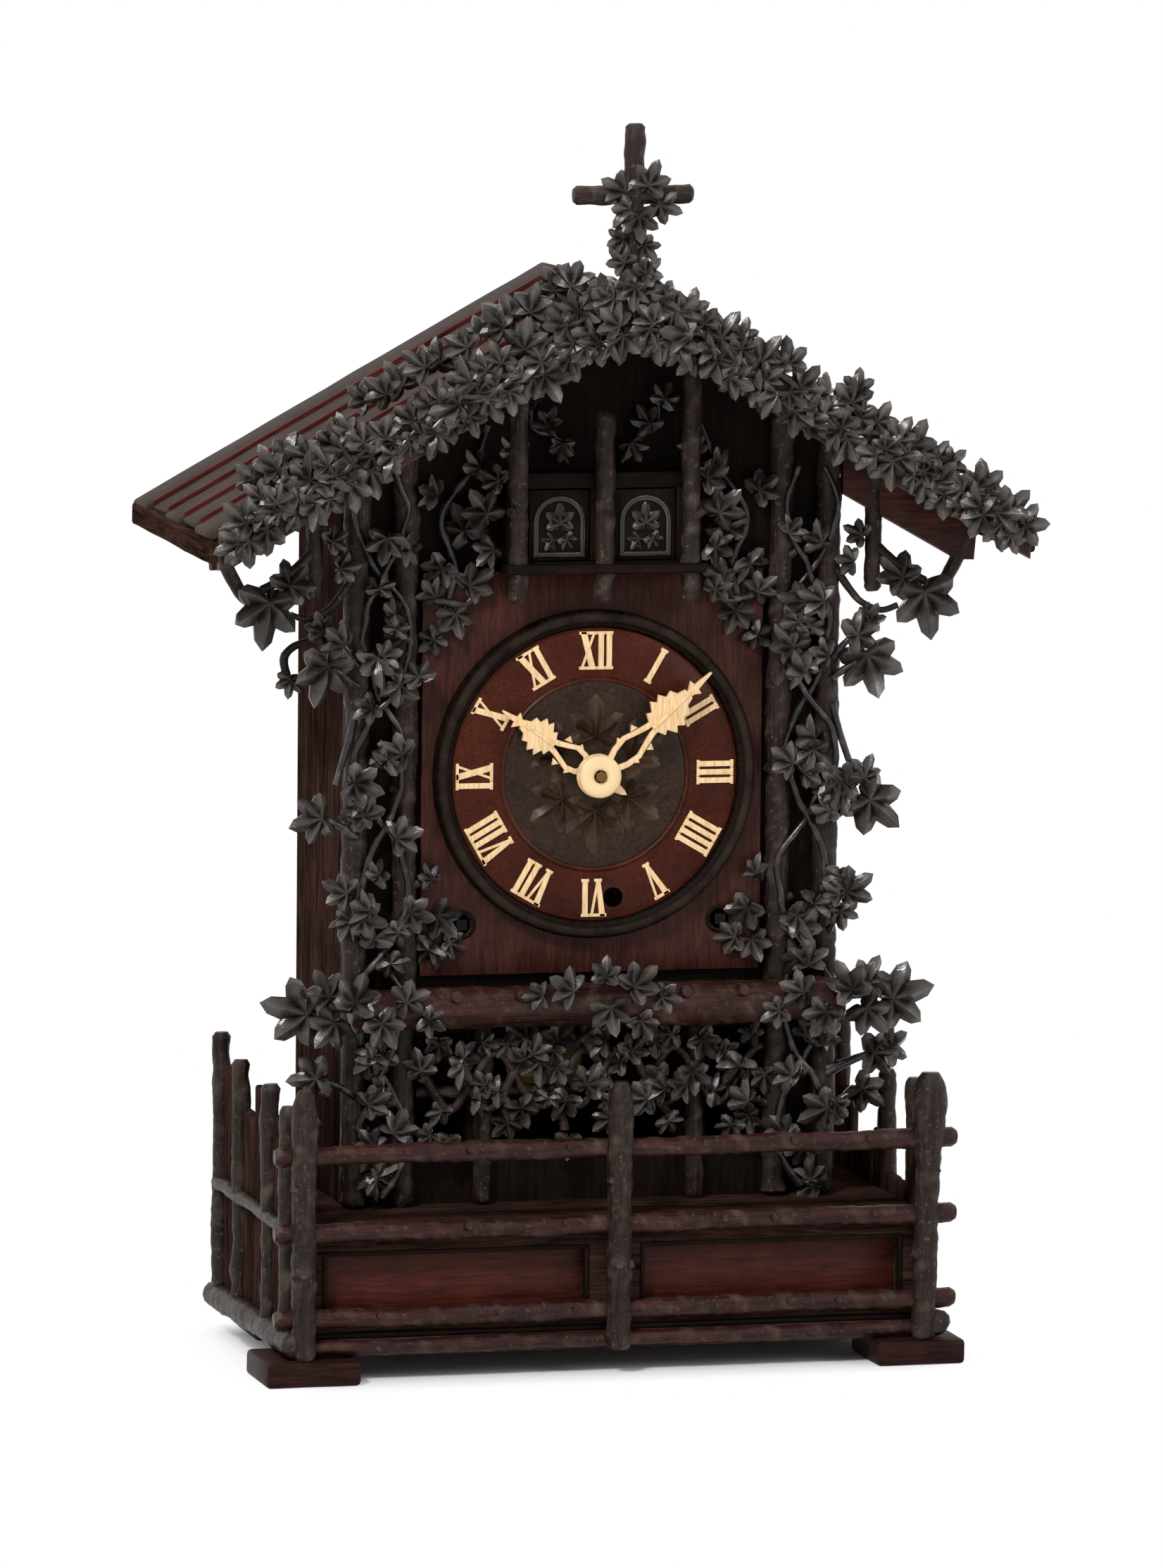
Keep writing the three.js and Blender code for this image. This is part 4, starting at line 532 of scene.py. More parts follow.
class Shape:
    """Faces gathered for one piece, in millimetres, with the grain and the crests that its finish reads;
    crests get a paler colour that is partly real scuffing and partly a painted highlight.
    """

    def __init__(self) -> None:
        """Start with nothing."""
        self.mesh = bmesh.new()
        self.grain = self.mesh.verts.layers.float_vector.new("grain")
        self.crest = self.mesh.verts.layers.float.new("crest")
        self.parts = 0

    def take(
        self, part: BMesh, wear_and_highlight: dict[BMVert, float], along: Axis = Axis.Z, place: Matrix | None = None,
    ) -> None:
        """Add a part's faces.

        Args:
            part: The part, which is freed.
            wear_and_highlight: How far each corner takes the paler crest colour, partly real scuffing and
                partly a painted highlight.
            along: The way the grain runs in the part.
            place: Where the part goes, after its grain is laid.
        """
        self.parts += 1
        # Each part gets a stretch of grain of its own.
        shift = Vector((0.37, 0.61, 0.83)) * 40 * self.parts
        order = {Axis.X: (1, 2, 0), Axis.Y: (0, 2, 1), Axis.Z: (0, 1, 2)}[along]
        new = {}
        for corner in part.verts:
            at = corner.co if place is None else place @ corner.co
            made = self.mesh.verts.new(at)
            made[self.grain] = (Vector([corner.co[i] for i in order]) + shift) * MM
            made[self.crest] = wear_and_highlight.get(corner, 0.0)
            new[corner] = made
        for face in part.faces:
            self.mesh.faces.new([new[c] for c in face.verts])
        part.free()

    def board(
        self, low: Point, high: Point, along: Axis, bevel: float, wave: float = 0.0, cuts: int = 0,
        place: Matrix | None = None,
    ) -> None:
        """Add a board with rounded edges.

        Args:
            low: Its lowest corner.
            high: Its highest corner.
            along: The way its grain runs.
            bevel: Radius of its edges.
            wave: How far its faces stray from flat.
            cuts: Cross cuts that let it stray.
            place: Where it goes.
        """
        part = bmesh.new()
        corner, other = Vector(low), Vector(high)
        size = other - corner
        frame = Matrix.Translation((corner + other) / 2) @ Matrix.Diagonal((*size, 1))
        bmesh.ops.create_cube(part, size=1, matrix=frame)
        wear_and_highlight = round_edges(part, part.edges, bevel)
        mark = part.verts.layers.float.new("wear_and_highlight")
        for vert in part.verts:
            vert[mark] = wear_and_highlight.get(vert, 0.0)
        normal = Vector((0, 0, 0))
        normal[along.value] = 1
        for i in range(cuts):
            at = corner + size * ((i + 1) / (cuts + 1))
            geometry = [*part.verts, *part.edges, *part.faces]
            bmesh.ops.bisect_plane(part, geom=geometry, plane_co=at, plane_no=normal, dist=1e-5)
        if wave:
            for vert in part.verts:
                vert.co += noise.noise_vector(vert.co / 19 + Vector((self.parts, 0, 7))) * wave
        self.take(part, {v: v[mark] for v in part.verts}, along, place)

    def prism(
        self, outline: Sequence[Flat], front: float, back: float, along: Axis = Axis.Z, bevel: float = 0.4,
    ) -> None:
        """Add a plate cut to an outline in the plane of the dial.

        Args:
            outline: Its [x, z] corners.
            front: Depth of its front face.
            back: Depth of its back face.
            along: The way its grain runs.
            bevel: Radius of its front edge.
        """
        part = bmesh.new()
        ring = [part.verts.new((x, back, z)) for x, z in outline]
        face = part.faces.new(ring)
        moved = bmesh.ops.extrude_face_region(part, geom=[face])["geom"]
        tops = [g for g in moved if isinstance(g, BMVert)]
        bmesh.ops.translate(part, verts=tops, vec=(0, front - back, 0))
        bmesh.ops.recalc_face_normals(part, faces=part.faces)
        wear_and_highlight: dict[BMVert, float] = {}
        if bevel:
            edges = [e for e in part.edges if all(v in tops for v in e.verts)]
            wear_and_highlight = round_edges(part, edges, bevel)
        self.take(part, wear_and_highlight, along)

    def ribbon(self, path: Sequence[Flat], width: Sequence[float], front: float, back: float) -> None:
        """Add a flat strip along a path in the plane of the dial.

        Args:
            path: Its [x, z] middle line.
            width: Its width at each place.
            front: Depth of its front face.
            back: Depth of its back face.
        """
        left, right = [], []
        for i, at in enumerate(path):
            before, after = Vector(path[max(i - 1, 0)]), Vector(path[min(i + 1, len(path) - 1)])
            way = (after - before).normalized() * width[i] / 2
            left.append((at[0] - way.y, at[1] + way.x))
            right.append((at[0] + way.y, at[1] - way.x))
        self.prism([*left, *reversed(right)], front, back, bevel=min(width) * 0.25)

    def turned(
        self, profile: Sequence[Flat], centre: Flat, sides: int = 96, crests: Sequence[int] = (),
    ) -> None:
        """Add a closed ring or disc turned round a dial-wise axis.

        Args:
            profile: Closed [radius, y] outline.
            centre: Its axis as [x, z].
            sides: Steps round.
            crests: Places of the outline that take the paler crest colour, partly real scuffing and partly a
                painted highlight.
        """
        part = bmesh.new()
        wear_and_highlight = {}
        rings = []
        for i in range(sides):
            angle = 2 * pi * i / sides
            ring = []
            for k, (radius, y) in enumerate(profile):
                at = (centre[0] + radius * cos(angle), y, centre[1] + radius * sin(angle))
                vert = part.verts.new(at)
                wear_and_highlight[vert] = float(k in crests)
                ring.append(vert)
            rings.append(ring)
        skin(part, [*rings, rings[0]])
        marks = [(v.co.copy(), w) for v, w in wear_and_highlight.items()]
        bmesh.ops.remove_doubles(part, verts=part.verts, dist=1e-4)
        bmesh.ops.recalc_face_normals(part, faces=part.faces)
        table = {tuple(round(c, 2) for c in at): w for at, w in marks}
        kept = {v: table.get(tuple(round(c, 2) for c in v.co), 0.0) for v in part.verts}
        self.take(part, kept, Axis.Y)

    def spindle(
        self, places: Sequence[Point], radii: Sequence[Flat], sides: int = 14, belly: bool = False,
    ) -> None:
        """Add a smooth body along a line that runs front to back.

        Args:
            places: Middle of each ring.
            radii: Half width and half height of each ring.
            sides: Steps round.
            belly: Mark the underside, for a paler breast.
        """
        part = bmesh.new()
        wear_and_highlight = {}
        rings = []
        for (x, y, z), (wide, high) in zip(places, radii):
            ring = []
            for i in range(sides):
                angle = 2 * pi * i / sides
                vert = part.verts.new((x + wide * cos(angle), y, z + high * sin(angle)))
                # For a bird this marks the paler breast, the paint's own colour.
                wear_and_highlight[vert] = max(0.0, -sin(angle)) if belly else 0.0
                ring.append(vert)
            rings.append(ring)
        skin(part, rings)
        part.faces.new(rings[0])
        part.faces.new(rings[-1])
        bmesh.ops.recalc_face_normals(part, faces=part.faces)
        self.take(part, wear_and_highlight, Axis.Y)

    def copy(self, source: Mesh, along: Axis, bevel: float) -> None:
        """Add a frame node's solid with rounded edges.

        Args:
            source: The node's mesh, in metres.
            along: The way the grain runs.
            bevel: Radius of its edges.
        """
        part = bmesh.new()
        part.from_mesh(source)
        bmesh.ops.scale(part, vec=(1000, 1000, 1000), verts=part.verts)
        bmesh.ops.remove_doubles(part, verts=part.verts, dist=2e-3)
        bmesh.ops.dissolve_limit(part, angle_limit=FLAT_ANGLE, verts=part.verts, edges=part.edges)
        edges = [e for e in part.edges if len(e.link_faces) == 2 and e.calc_face_angle(0) > SHARP_ANGLE]
        self.take(part, round_edges(part, edges, bevel), along)


@dataclass
class Leaf:
    """One carved leaf: its place, reach, and how its tip is turned, leant out and swung."""

    at: Point
    reach: float
    turn: float
    lean: float = 0.0
    yaw: float = 0.0
    kind: int = 0

    def mirrored(self, side: int) -> "Leaf":
        """Give a leaf of the right half on either side."""
        x, y, z = self.at
        return Leaf((side * x, y, z), self.reach, side * self.turn, self.lean, side * self.yaw, self.kind)


@dataclass
class Twig:
    """A twig, vine or tendril: its middle line and its radius at each place."""

    path: list[Point]
    radii: list[float]

    @staticmethod
    def straight(start: Point, end: Point, radius: float, rng: random.Random, sway: float = 0.45) -> "Twig":
        """Grow a nearly straight twig with sawn ends.

        Args:
            start: Its first end.
            end: Its other end.
            radius: Its radius.
            rng: Source of its sway.
            sway: How far it strays from straight.

        Returns:
            The twig.
        """
        first, last = Vector(start), Vector(end)
        way = (last - first).normalized()
        length = (last - first).length
        ends = [reach for reach in (1.2, 3.2, 7.0, 14.0) if reach < length / 3]
        margin = 1.5 * max(ends, default=0)
        step = max(1, round(length / 24))
        between = [length * i / step for i in range(1, step)]
        between = [stop for stop in between if margin < stop < length - margin]
        stops = [0.0, *ends, *between, *(length - reach for reach in reversed(ends)), length]
        path, radii = [], []
        for stop in stops:
            inner = 4 < stop < length - 4
            drift = Vector([rng.uniform(-sway, sway) for _ in range(3)]) if inner else Vector()
            path.append(tuple(first + way * stop + drift))
            radii.append(radius * (rng.uniform(0.93, 1.06) if inner else 1.0))
        radii[0] = radius * 0.7
        radii[-1] = radius * 0.7
        return Twig(path, radii)

    @staticmethod
    def vine(path: Iterable[Point], thick: float, thin: float) -> "Twig":
        """Grow a vine that gets thinner towards its end.

        Args:
            path: Its middle line.
            thick: Its radius at the start.
            thin: Its radius at the end.

        Returns:
            The vine.
        """
        places = list(path)
        last = len(places) - 1
        return Twig(places, [thick + (thin - thick) * i / last for i in range(len(places))])


@dataclass
class IvyLeaf:
    """The carved ivy leaf that is repeated over the clock: one bend of it, as a template."""

    name: str
    cup: float
    tip: float
    side: float

    LOBES = ((0, 1.06), (26, 0.58), (52, 0.9), (79, 0.52), (108, 0.72), (146, 0.4), (180, 0.17))
    RINGS = (0.38, 0.74, 1.0)

    def outline(self) -> list[tuple[float, float, float]]:
        """List the leaf's rim.

        Returns:
            Angle from the tip, share of the reach and nearness to a rib of each place.
        """
        right = []
        for i, ((a0, r0), (a1, r1)) in enumerate(zip(self.LOBES, self.LOBES[1:])):
            rib = i % 2 == 0
            right.append((a0, r0, 1.0 if rib else 0.0))
            right.append(((a0 + a1) / 2, (r0 + r1) / 2 + (0.05 if rib else 0.03), 0.4))
        right.append((180, self.LOBES[-1][1], 0.0))
        left = [(360 - a, r, k) for a, r, k in reversed(right[1:-1])]
        return right + left

    def build(self) -> Object:
        """Make the template.

        Returns:
            The leaf, with a reach of one metre, its tip up and its face to the front.
        """
        rim = self.outline()
        mesh = bmesh.new()
        grain = mesh.verts.layers.float_vector.new("grain")
        crest = mesh.verts.layers.float.new("crest")

        def corner(angle: float, reach: float, height: float, wear_and_highlight: float) -> BMVert:
            """Add one corner of the leaf.

            Args:
                angle: Its direction from the tip, in degrees.
                reach: Its distance from the heart.
                height: How far forward it stands.
                wear_and_highlight: How far it takes the paler crest colour, partly real scuffing and partly a
                    painted highlight.

            Returns:
                The corner.
            """
            turn = radians(angle)
            vert = mesh.verts.new((reach * sin(turn), -height, reach * cos(turn)))
            vert[grain] = vert.co * LEAF_GRAIN_MM * MM
            vert[crest] = wear_and_highlight
            return vert

        rings = []
        for share in self.RINGS:
            ring = []
            for angle, reach, rib in rim:
                way = cos(radians(angle))
                bend = self.tip * max(way, 0) + self.side * abs(sin(radians(angle)))
                ridge = (0.22 * rib - 0.11) * sin(pi * min(share * 0.9 + 0.1, 1))
                height = self.cup * (1 - share**2) + ridge + bend * share**3
                # Ribs and the heart get the paler crest colour, a painted highlight as well as scuffing.
                ring.append(corner(angle, reach * share, height, rib * (0.5 + 0.5 * share)))
            rings.append(ring)
        heart = corner(0, 0, self.cup + 0.02, 0.6)
        back = corner(0, 0, -0.1, 0)
        under = [corner(a, r * 0.97, -0.1, 0) for a, r, _ in rim]
        for vert, top in zip(under, rings[-1]):
            vert.co.y = top.co.y + 0.09
        count = len(rim)
        for i in range(count):
            n = (i + 1) % count
            mesh.faces.new((heart, rings[0][i], rings[0][n]))
            for inner, outer in zip(rings, rings[1:]):
                mesh.faces.new((inner[i], outer[i], outer[n], inner[n]))
            mesh.faces.new((rings[-1][i], under[i], under[n], rings[-1][n]))
            mesh.faces.new((under[i], back, under[n]))
        bmesh.ops.recalc_face_normals(mesh, faces=mesh.faces)
        data = bpy.data.meshes.new(self.name)
        mesh.to_mesh(data)
        mesh.free()
        return bpy.data.objects.new(self.name, data)


def show(name: str, data: ID) -> Object:
    """Put a mesh, a lamp or a camera in the scene.

    Args:
        name: The object's name.
        data: What it shows.

    Returns:
        The object, at the origin.
    """
    made = bpy.data.objects.new(name, data)
    bpy.context.scene.collection.objects.link(made)
    return made


def store(data: Mesh, name: str, kind: str, values: Sequence[float]) -> None:
    """Give a mesh's points a named attribute.

    Args:
        data: The mesh.
        name: The attribute's name.
        kind: Its data type.
        values: Its numbers, one after the other.
    """
    made = data.attributes.new(name, kind, "POINT")
    made.data.foreach_set("vector" if kind == "FLOAT_VECTOR" else "value", values)


def smooth(data: Mesh, sharp: float) -> None:
    """Shade a mesh smooth, with edges over so many degrees crisp."""
    data.shade_smooth()
    data.set_sharp_from_angle(angle=radians(sharp))


class Workshop:
    """Makes shapes into dressed objects and seats them on the frame."""

    BENDS = (
        ("ivy_a", 0.25, 0.02, 0.1), ("ivy_b", 0.18, -0.22, 0.16), ("ivy_c", 0.29, 0.2, -0.14),
        ("ivy_low", 0.06, 0, 0.02),
    )
    LEAF_DATA = {
        "turn": "FLOAT_VECTOR", "reach": "FLOAT", "kind": "INT", "seed": "FLOAT", "grain": "FLOAT_VECTOR",
    }
    TWIG_DATA = {"seed": "FLOAT", "thick": "FLOAT", "round": "FLOAT_VECTOR", "along": "FLOAT"}
    LEAF_SHIFT = 0.05
    TWIG_SHIFT = 0.31
    LEAF_SHARP = 24
    TWIG_SHARP = 50
    LUMP_MM = 5.5

    def __init__(self, frame: dict, seed: int) -> None:
        """Lay out the finishes, the leaf templates and the node trees.

        Args:
            seed: Seed of everything irregular.
        """
        self.nodes: dict[str, Object] = frame["nodes"]
        self.rng = random.Random(seed)
        noise.seed_set(seed)
        self.materials: dict[Stuff, Material] = {}
        self.leaves = bpy.data.collections.new("ivy_leaves")
        for bend in self.BENDS:
            self.leaves.objects.link(IvyLeaf(*bend).build())
        self.leaf_tree = self.grow_leaf_tree()
        self.twig_tree = self.grow_twig_tree()

    def material(self, stuff: Stuff) -> Material:
        """Give the material of a finish, made once.

        Args:
            stuff: The finish.

        Returns:
            Its material.
        """
        if stuff not in self.materials:
            self.materials[stuff] = stuff.value.build()
        return self.materials[stuff]

    @staticmethod
    def new_tree(name: str, inputs: dict[str, str]) -> tuple[NodeTree, Node, Node]:
        """Start a geometry tree with named inputs.

        Args:
            name: The tree's name.
            inputs: Input name to socket type.

        Returns:
            The tree, its input node and its output node.
        """
        tree = bpy.data.node_groups.new(name, "GeometryNodeTree")
        tree.interface.new_socket("Geometry", in_out="INPUT", socket_type="NodeSocketGeometry")
        for label, kind in inputs.items():
            tree.interface.new_socket(label, in_out="INPUT", socket_type=kind)
        tree.interface.new_socket("Geometry", in_out="OUTPUT", socket_type="NodeSocketGeometry")
        return tree, tree.nodes.new("NodeGroupInput"), tree.nodes.new("NodeGroupOutput")

    def grow_leaf_tree(self) -> NodeTree:
        """Make the tree that puts a leaf on each point.

        Returns:
            The tree.
        """
        tree, given, result = self.new_tree(
            "scatter_ivy",
            {"Leaves": "NodeSocketCollection", "Size": "NodeSocketFloat", "Finish": "NodeSocketMaterial"},
        )
        pick = add(
            tree, "GeometryNodeCollectionInfo",
            {"Collection": given.outputs["Leaves"], "Separate Children": True, "Reset Children": True},
        )
        read = {
            name: add(tree, "GeometryNodeInputNamedAttribute", {"Name": name}, data_type=kind)
            for name, kind in self.LEAF_DATA.items()
        }
        size = add(tree, "ShaderNodeMath", {0: read["reach"], 1: given.outputs["Size"]}, operation="MULTIPLY")
        rotation = add(tree, "FunctionNodeEulerToRotation", {"Euler": read["turn"]})
        placed = add(
            tree, "GeometryNodeInstanceOnPoints",
            {
                "Points": given.outputs["Geometry"], "Instance": pick, "Pick Instance": True,
                "Instance Index": read["kind"], "Rotation": rotation, "Scale": size,
            },
        )
        real = add(tree, "GeometryNodeRealizeInstances", {"Geometry": placed})
        shifted = add(tree, "ShaderNodeVectorMath", {0: read["grain"], 1: read["seed"]}, operation="ADD")
        stored = add(
            tree, "GeometryNodeStoreNamedAttribute", {"Geometry": real, "Name": "grain", "Value": shifted},
            data_type="FLOAT_VECTOR",
        )
        dressed = add(
            tree, "GeometryNodeSetMaterial", {"Geometry": stored, "Material": given.outputs["Finish"]},
        )
        wire(tree, result, {0: dressed})
        return tree

    def grow_twig_tree(self) -> NodeTree:
        """Make the tree that wraps knobbly bark round each path.

        Returns:
            The tree.
        """
        tree, given, result = self.new_tree(
            "wrap_bark",
            {
                "Sides": "NodeSocketInt", "Step": "NodeSocketFloat", "Knob": "NodeSocketFloat",
                "Finish": "NodeSocketMaterial",
            },
        )
        read = {
            name: add(tree, "GeometryNodeInputNamedAttribute", {"Name": name}, data_type=kind)
            for name, kind in self.TWIG_DATA.items()
        }
        curve = add(tree, "GeometryNodeMeshToCurve", {"Mesh": given.outputs["Geometry"]})
        spline = add(tree, "GeometryNodeCurveSplineType", {"Curve": curve}, spline_type="CATMULL_ROM")
        even = add(
            tree, "GeometryNodeResampleCurve", {"Curve": spline, "Length": given.outputs["Step"]},
            mode="LENGTH",
        )
        length = add(tree, "GeometryNodeSplineParameter", out="Length")
        along = add(tree, "ShaderNodeMath", {0: length, 1: read["seed"]}, operation="ADD")
        marked = add(
            tree, "GeometryNodeStoreNamedAttribute", {"Geometry": even, "Name": "along", "Value": along},
            data_type="FLOAT",
        )
        circle = add(
            tree, "GeometryNodeCurvePrimitiveCircle", {"Resolution": given.outputs["Sides"], "Radius": 1.0},
        )
        spot = add(tree, "GeometryNodeInputPosition")
        ring = add(
            tree, "GeometryNodeStoreNamedAttribute", {"Geometry": circle, "Name": "round", "Value": spot},
            data_type="FLOAT_VECTOR",
        )
        tube = add(
            tree, "GeometryNodeCurveToMesh",
            {"Curve": marked, "Profile Curve": ring, "Scale": read["thick"], "Fill Caps": True},
        )
        scaled = add(
            tree, "ShaderNodeVectorMath", {0: read["round"], "Scale": read["thick"]}, operation="SCALE",
        )
        upright = add(tree, "ShaderNodeCombineXYZ", {"Z": read["along"]})
        grain = add(tree, "ShaderNodeVectorMath", {0: scaled, 1: upright}, operation="ADD")
        grained = add(
            tree, "GeometryNodeStoreNamedAttribute", {"Geometry": tube, "Name": "grain", "Value": grain},
            data_type="FLOAT_VECTOR",
        )
        lumps = add(
            tree, "ShaderNodeTexNoise",
            {"Vector": grain, "Scale": 1 / (self.LUMP_MM * MM), "Detail": 2.0, "Roughness": 0.55},
        )
        swing = add(tree, "ShaderNodeMapRange", {0: lumps, 1: 0.25, 2: 0.75, 3: -1.0, 4: 1.0})
        # Tops of the lumps get the paler crest colour: partly real scuffing, partly a painted highlight.
        wear_and_highlight = add(
            tree, "GeometryNodeStoreNamedAttribute", {"Geometry": grained, "Name": "crest", "Value": swing},
            data_type="FLOAT",
        )
        amount = add(tree, "ShaderNodeMath", {0: swing, 1: read["thick"]}, operation="MULTIPLY")
        amount = add(tree, "ShaderNodeMath", {0: amount, 1: given.outputs["Knob"]}, operation="MULTIPLY")
        normal = add(tree, "GeometryNodeInputNormal")
        push = add(tree, "ShaderNodeVectorMath", {0: normal, "Scale": amount}, operation="SCALE")
        knobbly = add(tree, "GeometryNodeSetPosition", {"Geometry": wear_and_highlight, "Offset": push})
        real = add(tree, "GeometryNodeRealizeInstances", {"Geometry": knobbly})
        dressed = add(
            tree, "GeometryNodeSetMaterial", {"Geometry": real, "Material": given.outputs["Finish"]},
        )
        wire(tree, result, {0: dressed})
        return tree

    def grow(self, name: str, data: Mesh, tree: NodeTree, values: dict[str, object], sharp: float) -> Object:
        """Run a geometry tree on points or paths and keep the result as a plain mesh.

        Args:
            name: The piece's name.
            data: The points or paths, which are removed.
            tree: The tree to run.
            values: Input name to value.
            sharp: Edges over this many degrees stay crisp.

        Returns:
            The object.
        """
        piece = show(name, data)
        modifier = piece.modifiers.new("grow", "NODES")
        modifier.node_group = tree
        for item in tree.interface.items_tree:
            if item.in_out == "INPUT" and item.name in values:
                modifier[item.identifier] = values[item.name]
        graph = bpy.context.evaluated_depsgraph_get()
        grown = bpy.data.meshes.new_from_object(
            piece.evaluated_get(graph), preserve_all_data_layers=True, depsgraph=graph,
        )
        piece.modifiers.clear()
        piece.data = grown
        grown.name = name
        bpy.data.meshes.remove(data)
        smooth(grown, sharp)
        return piece

    def mould(self, name: str, shape: Shape, stuff: Stuff, sharp: float = 40) -> Object:
        """Make a gathered shape into an object.

        Args:
            name: The piece's name.
            shape: Its faces, in millimetres.
            stuff: Its finish.
            sharp: Edges over this many degrees stay crisp.

        Returns:
            The object.
        """
        data = bpy.data.meshes.new(name)
        bmesh.ops.scale(shape.mesh, vec=(MM, MM, MM), verts=shape.mesh.verts)
        bmesh.ops.recalc_face_normals(shape.mesh, faces=shape.mesh.faces)
        shape.mesh.to_mesh(data)
        shape.mesh.free()
        data.materials.append(self.material(stuff))
        smooth(data, sharp)
        return show(name, data)

    def solid(
        self, name: str, shape: Shape, stuff: Stuff, node: str = "", body: Body = Body.CASE,
        slot: str = "dark_wood",
    ) -> None:
        """Make a gathered shape into a seated piece.

        Args:
            name: The piece's name.
            shape: Its faces, in millimetres.
            stuff: Its finish.
            node: The frame node that it stands for.
            body: The body it moves with.
            slot: The record's material slot.
        """
        self.seat(self.mould(name, shape, stuff), node, body, slot)

    def ivy(
        self, name: str, leaves: list[Leaf], stuff: Stuff = Stuff.CARVING, body: Body = Body.CASE,
    ) -> None:
        """Carve a spray of leaves.

        Args:
            name: The piece's name.
            leaves: Where each leaf is.
            stuff: Its finish.
            body: The body it moves with.
        """
        data = bpy.data.meshes.new(name + "_points")
        data.from_pydata([Vector(leaf.at) * MM for leaf in leaves], [], [])
        turns = [radians(a) for leaf in leaves for a in (leaf.lean, leaf.turn, leaf.yaw)]
        store(data, "turn", "FLOAT_VECTOR", turns)
        store(data, "reach", "FLOAT", [leaf.reach * MM for leaf in leaves])
        store(data, "kind", "INT", [leaf.kind for leaf in leaves])
        store(data, "seed", "FLOAT", [self.LEAF_SHIFT * i for i in range(len(leaves))])
        values = {"Leaves": self.leaves, "Size": 1.0, "Finish": self.material(stuff)}
        self.seat(self.grow(name, data, self.leaf_tree, values, self.LEAF_SHARP), body=body)

    def twigs(
        self, name: str, twigs: list[Twig], stuff: Stuff = Stuff.TWIG, sides: int = 12, knob: float = 0.12,
        step: float = 2.0, node: str = "",
    ) -> None:
        """Grow a set of twigs on the case.

        Args:
            name: The piece's name.
            twigs: Their paths.
            stuff: Their finish.
            sides: Steps round each.
            knob: Height of the bark's lumps as a share of the radius.
            step: Length of each step along.
            node: The frame node that they stand for.
        """
        corners, edges, thick, seeds = [], [], [], []
        for i, twig in enumerate(twigs):
            first = len(corners)
            corners += [Vector(p) * MM for p in twig.path]
            edges += [(first + k, first + k + 1) for k in range(len(twig.path) - 1)]
            thick += [r * MM for r in twig.radii]
            seeds += [self.TWIG_SHIFT * i] * len(twig.path)
        data = bpy.data.meshes.new(name + "_paths")
        data.from_pydata(corners, edges, [])
        store(data, "thick", "FLOAT", thick)
        store(data, "seed", "FLOAT", seeds)
        values = {"Sides": sides, "Step": step * MM, "Knob": knob, "Finish": self.material(stuff)}
        self.seat(self.grow(name, data, self.twig_tree, values, self.TWIG_SHARP), node)

    def refined(self, node: str, along: Axis, bevel: float, stuff: Stuff, body: Body = Body.CASE) -> None:
        """Replace a frame node by the same solid with rounded edges.

        Args:
            node: The node's name.
            along: The way its grain runs.
            bevel: Radius of its edges.
            stuff: Its finish.
            body: The body it moves with.
        """
        shape = Shape()
        shape.copy(self.nodes[node].data, along, bevel)
        self.solid(node + "_wood", shape, stuff, node, body)

    @staticmethod
    def seat(piece: Object, node: str = "", body: Body = Body.CASE, slot: str = "dark_wood") -> None:
        """Make a piece ride on a body and stand for a frame node.

        Args:
            piece: The piece.
            node: The node that it stands for, if any.
            body: The body it moves with.
            slot: The record's material slot, which is not used.
        """
        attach(piece, body.value)
        if node:
            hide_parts(node)
        LOG.info("%s on %s, %d faces", piece.name, body.value, len(piece.data.polygons))

    def keep(self, node: str, stuff: Stuff) -> None:
        """Keep a frame node's shape and put a finish on it.

        Args:
            node: The node's name.
            stuff: Its finish.
        """
        data = self.nodes[node].data
        data.materials.clear()
        data.materials.append(self.material(stuff))

    def scatter(self, at: Point, reach: float, turn: float, spread: float, kind: int | None = None) -> Leaf:
        """Carve one leaf with a hand's irregular lean and swing.

        Args:
            at: Its place.
            reach: Its reach.
            turn: Where its tip points, in degrees clockwise from up.
            spread: How far it may lean and swing.
            kind: Which bend of the leaf it is.

        Returns:
            The leaf.
        """
        chosen = self.rng.randrange(3) if kind is None else kind
        return Leaf(
            at, reach * self.rng.uniform(0.92, 1.08), turn + self.rng.uniform(-12, 12),
            self.rng.uniform(-spread, spread), self.rng.uniform(-spread, spread), chosen,
        )

    def clear(self) -> None:
        """Remove the templates and trees."""
        for leaf in list(self.leaves.objects):
            bpy.data.objects.remove(leaf)
        bpy.data.collections.remove(self.leaves)
        for tree in (self.leaf_tree, self.twig_tree):
            bpy.data.node_groups.remove(tree)


def roof_top(x: float) -> float:
    """Height of the roof's top at a distance from the ridge."""
    return RIDGE_Z - abs(x) * tan(ROOF_PITCH)


def on_dial(degrees: float, points: Iterable[Flat]) -> list[Flat]:
    """Turn points to a direction on the dial.

    Args:
        degrees: The direction, clockwise from the top.
        points: Points as [along it, across it].

    Returns:
        The points as [x, z].
    """
    turn = radians(degrees)
    across, up = sin(turn), cos(turn)
    return [(a * across + c * up, DIAL_Z + a * up - c * across) for a, c in points]


def mirror(side: int, points: Iterable[Point]) -> list[Point]:
    """Take points of the right half to either side.

    Args:
        side: 1 to keep them, -1 for the left.
        points: The points.

    Returns:
        The points on that side.
    """
    return [(side * x, y, z) for x, y, z in points]


def slope(side: int) -> Matrix:
    """Give the frame of a roof slope.

    Args:
        side: 1 for the right slope, -1 for the left.

    Returns:
        A matrix that takes [down the slope, y, out of it] to the clock.
    """
    down = Vector((side * cos(ROOF_PITCH), 0, -sin(ROOF_PITCH)))
    out = Vector((side * sin(ROOF_PITCH), 0, cos(ROOF_PITCH)))
    turn = Matrix((down, Vector((0, 1, 0)), out)).transposed().to_4x4()
    return Matrix.Translation((0, 0, RIDGE_Z)) @ turn


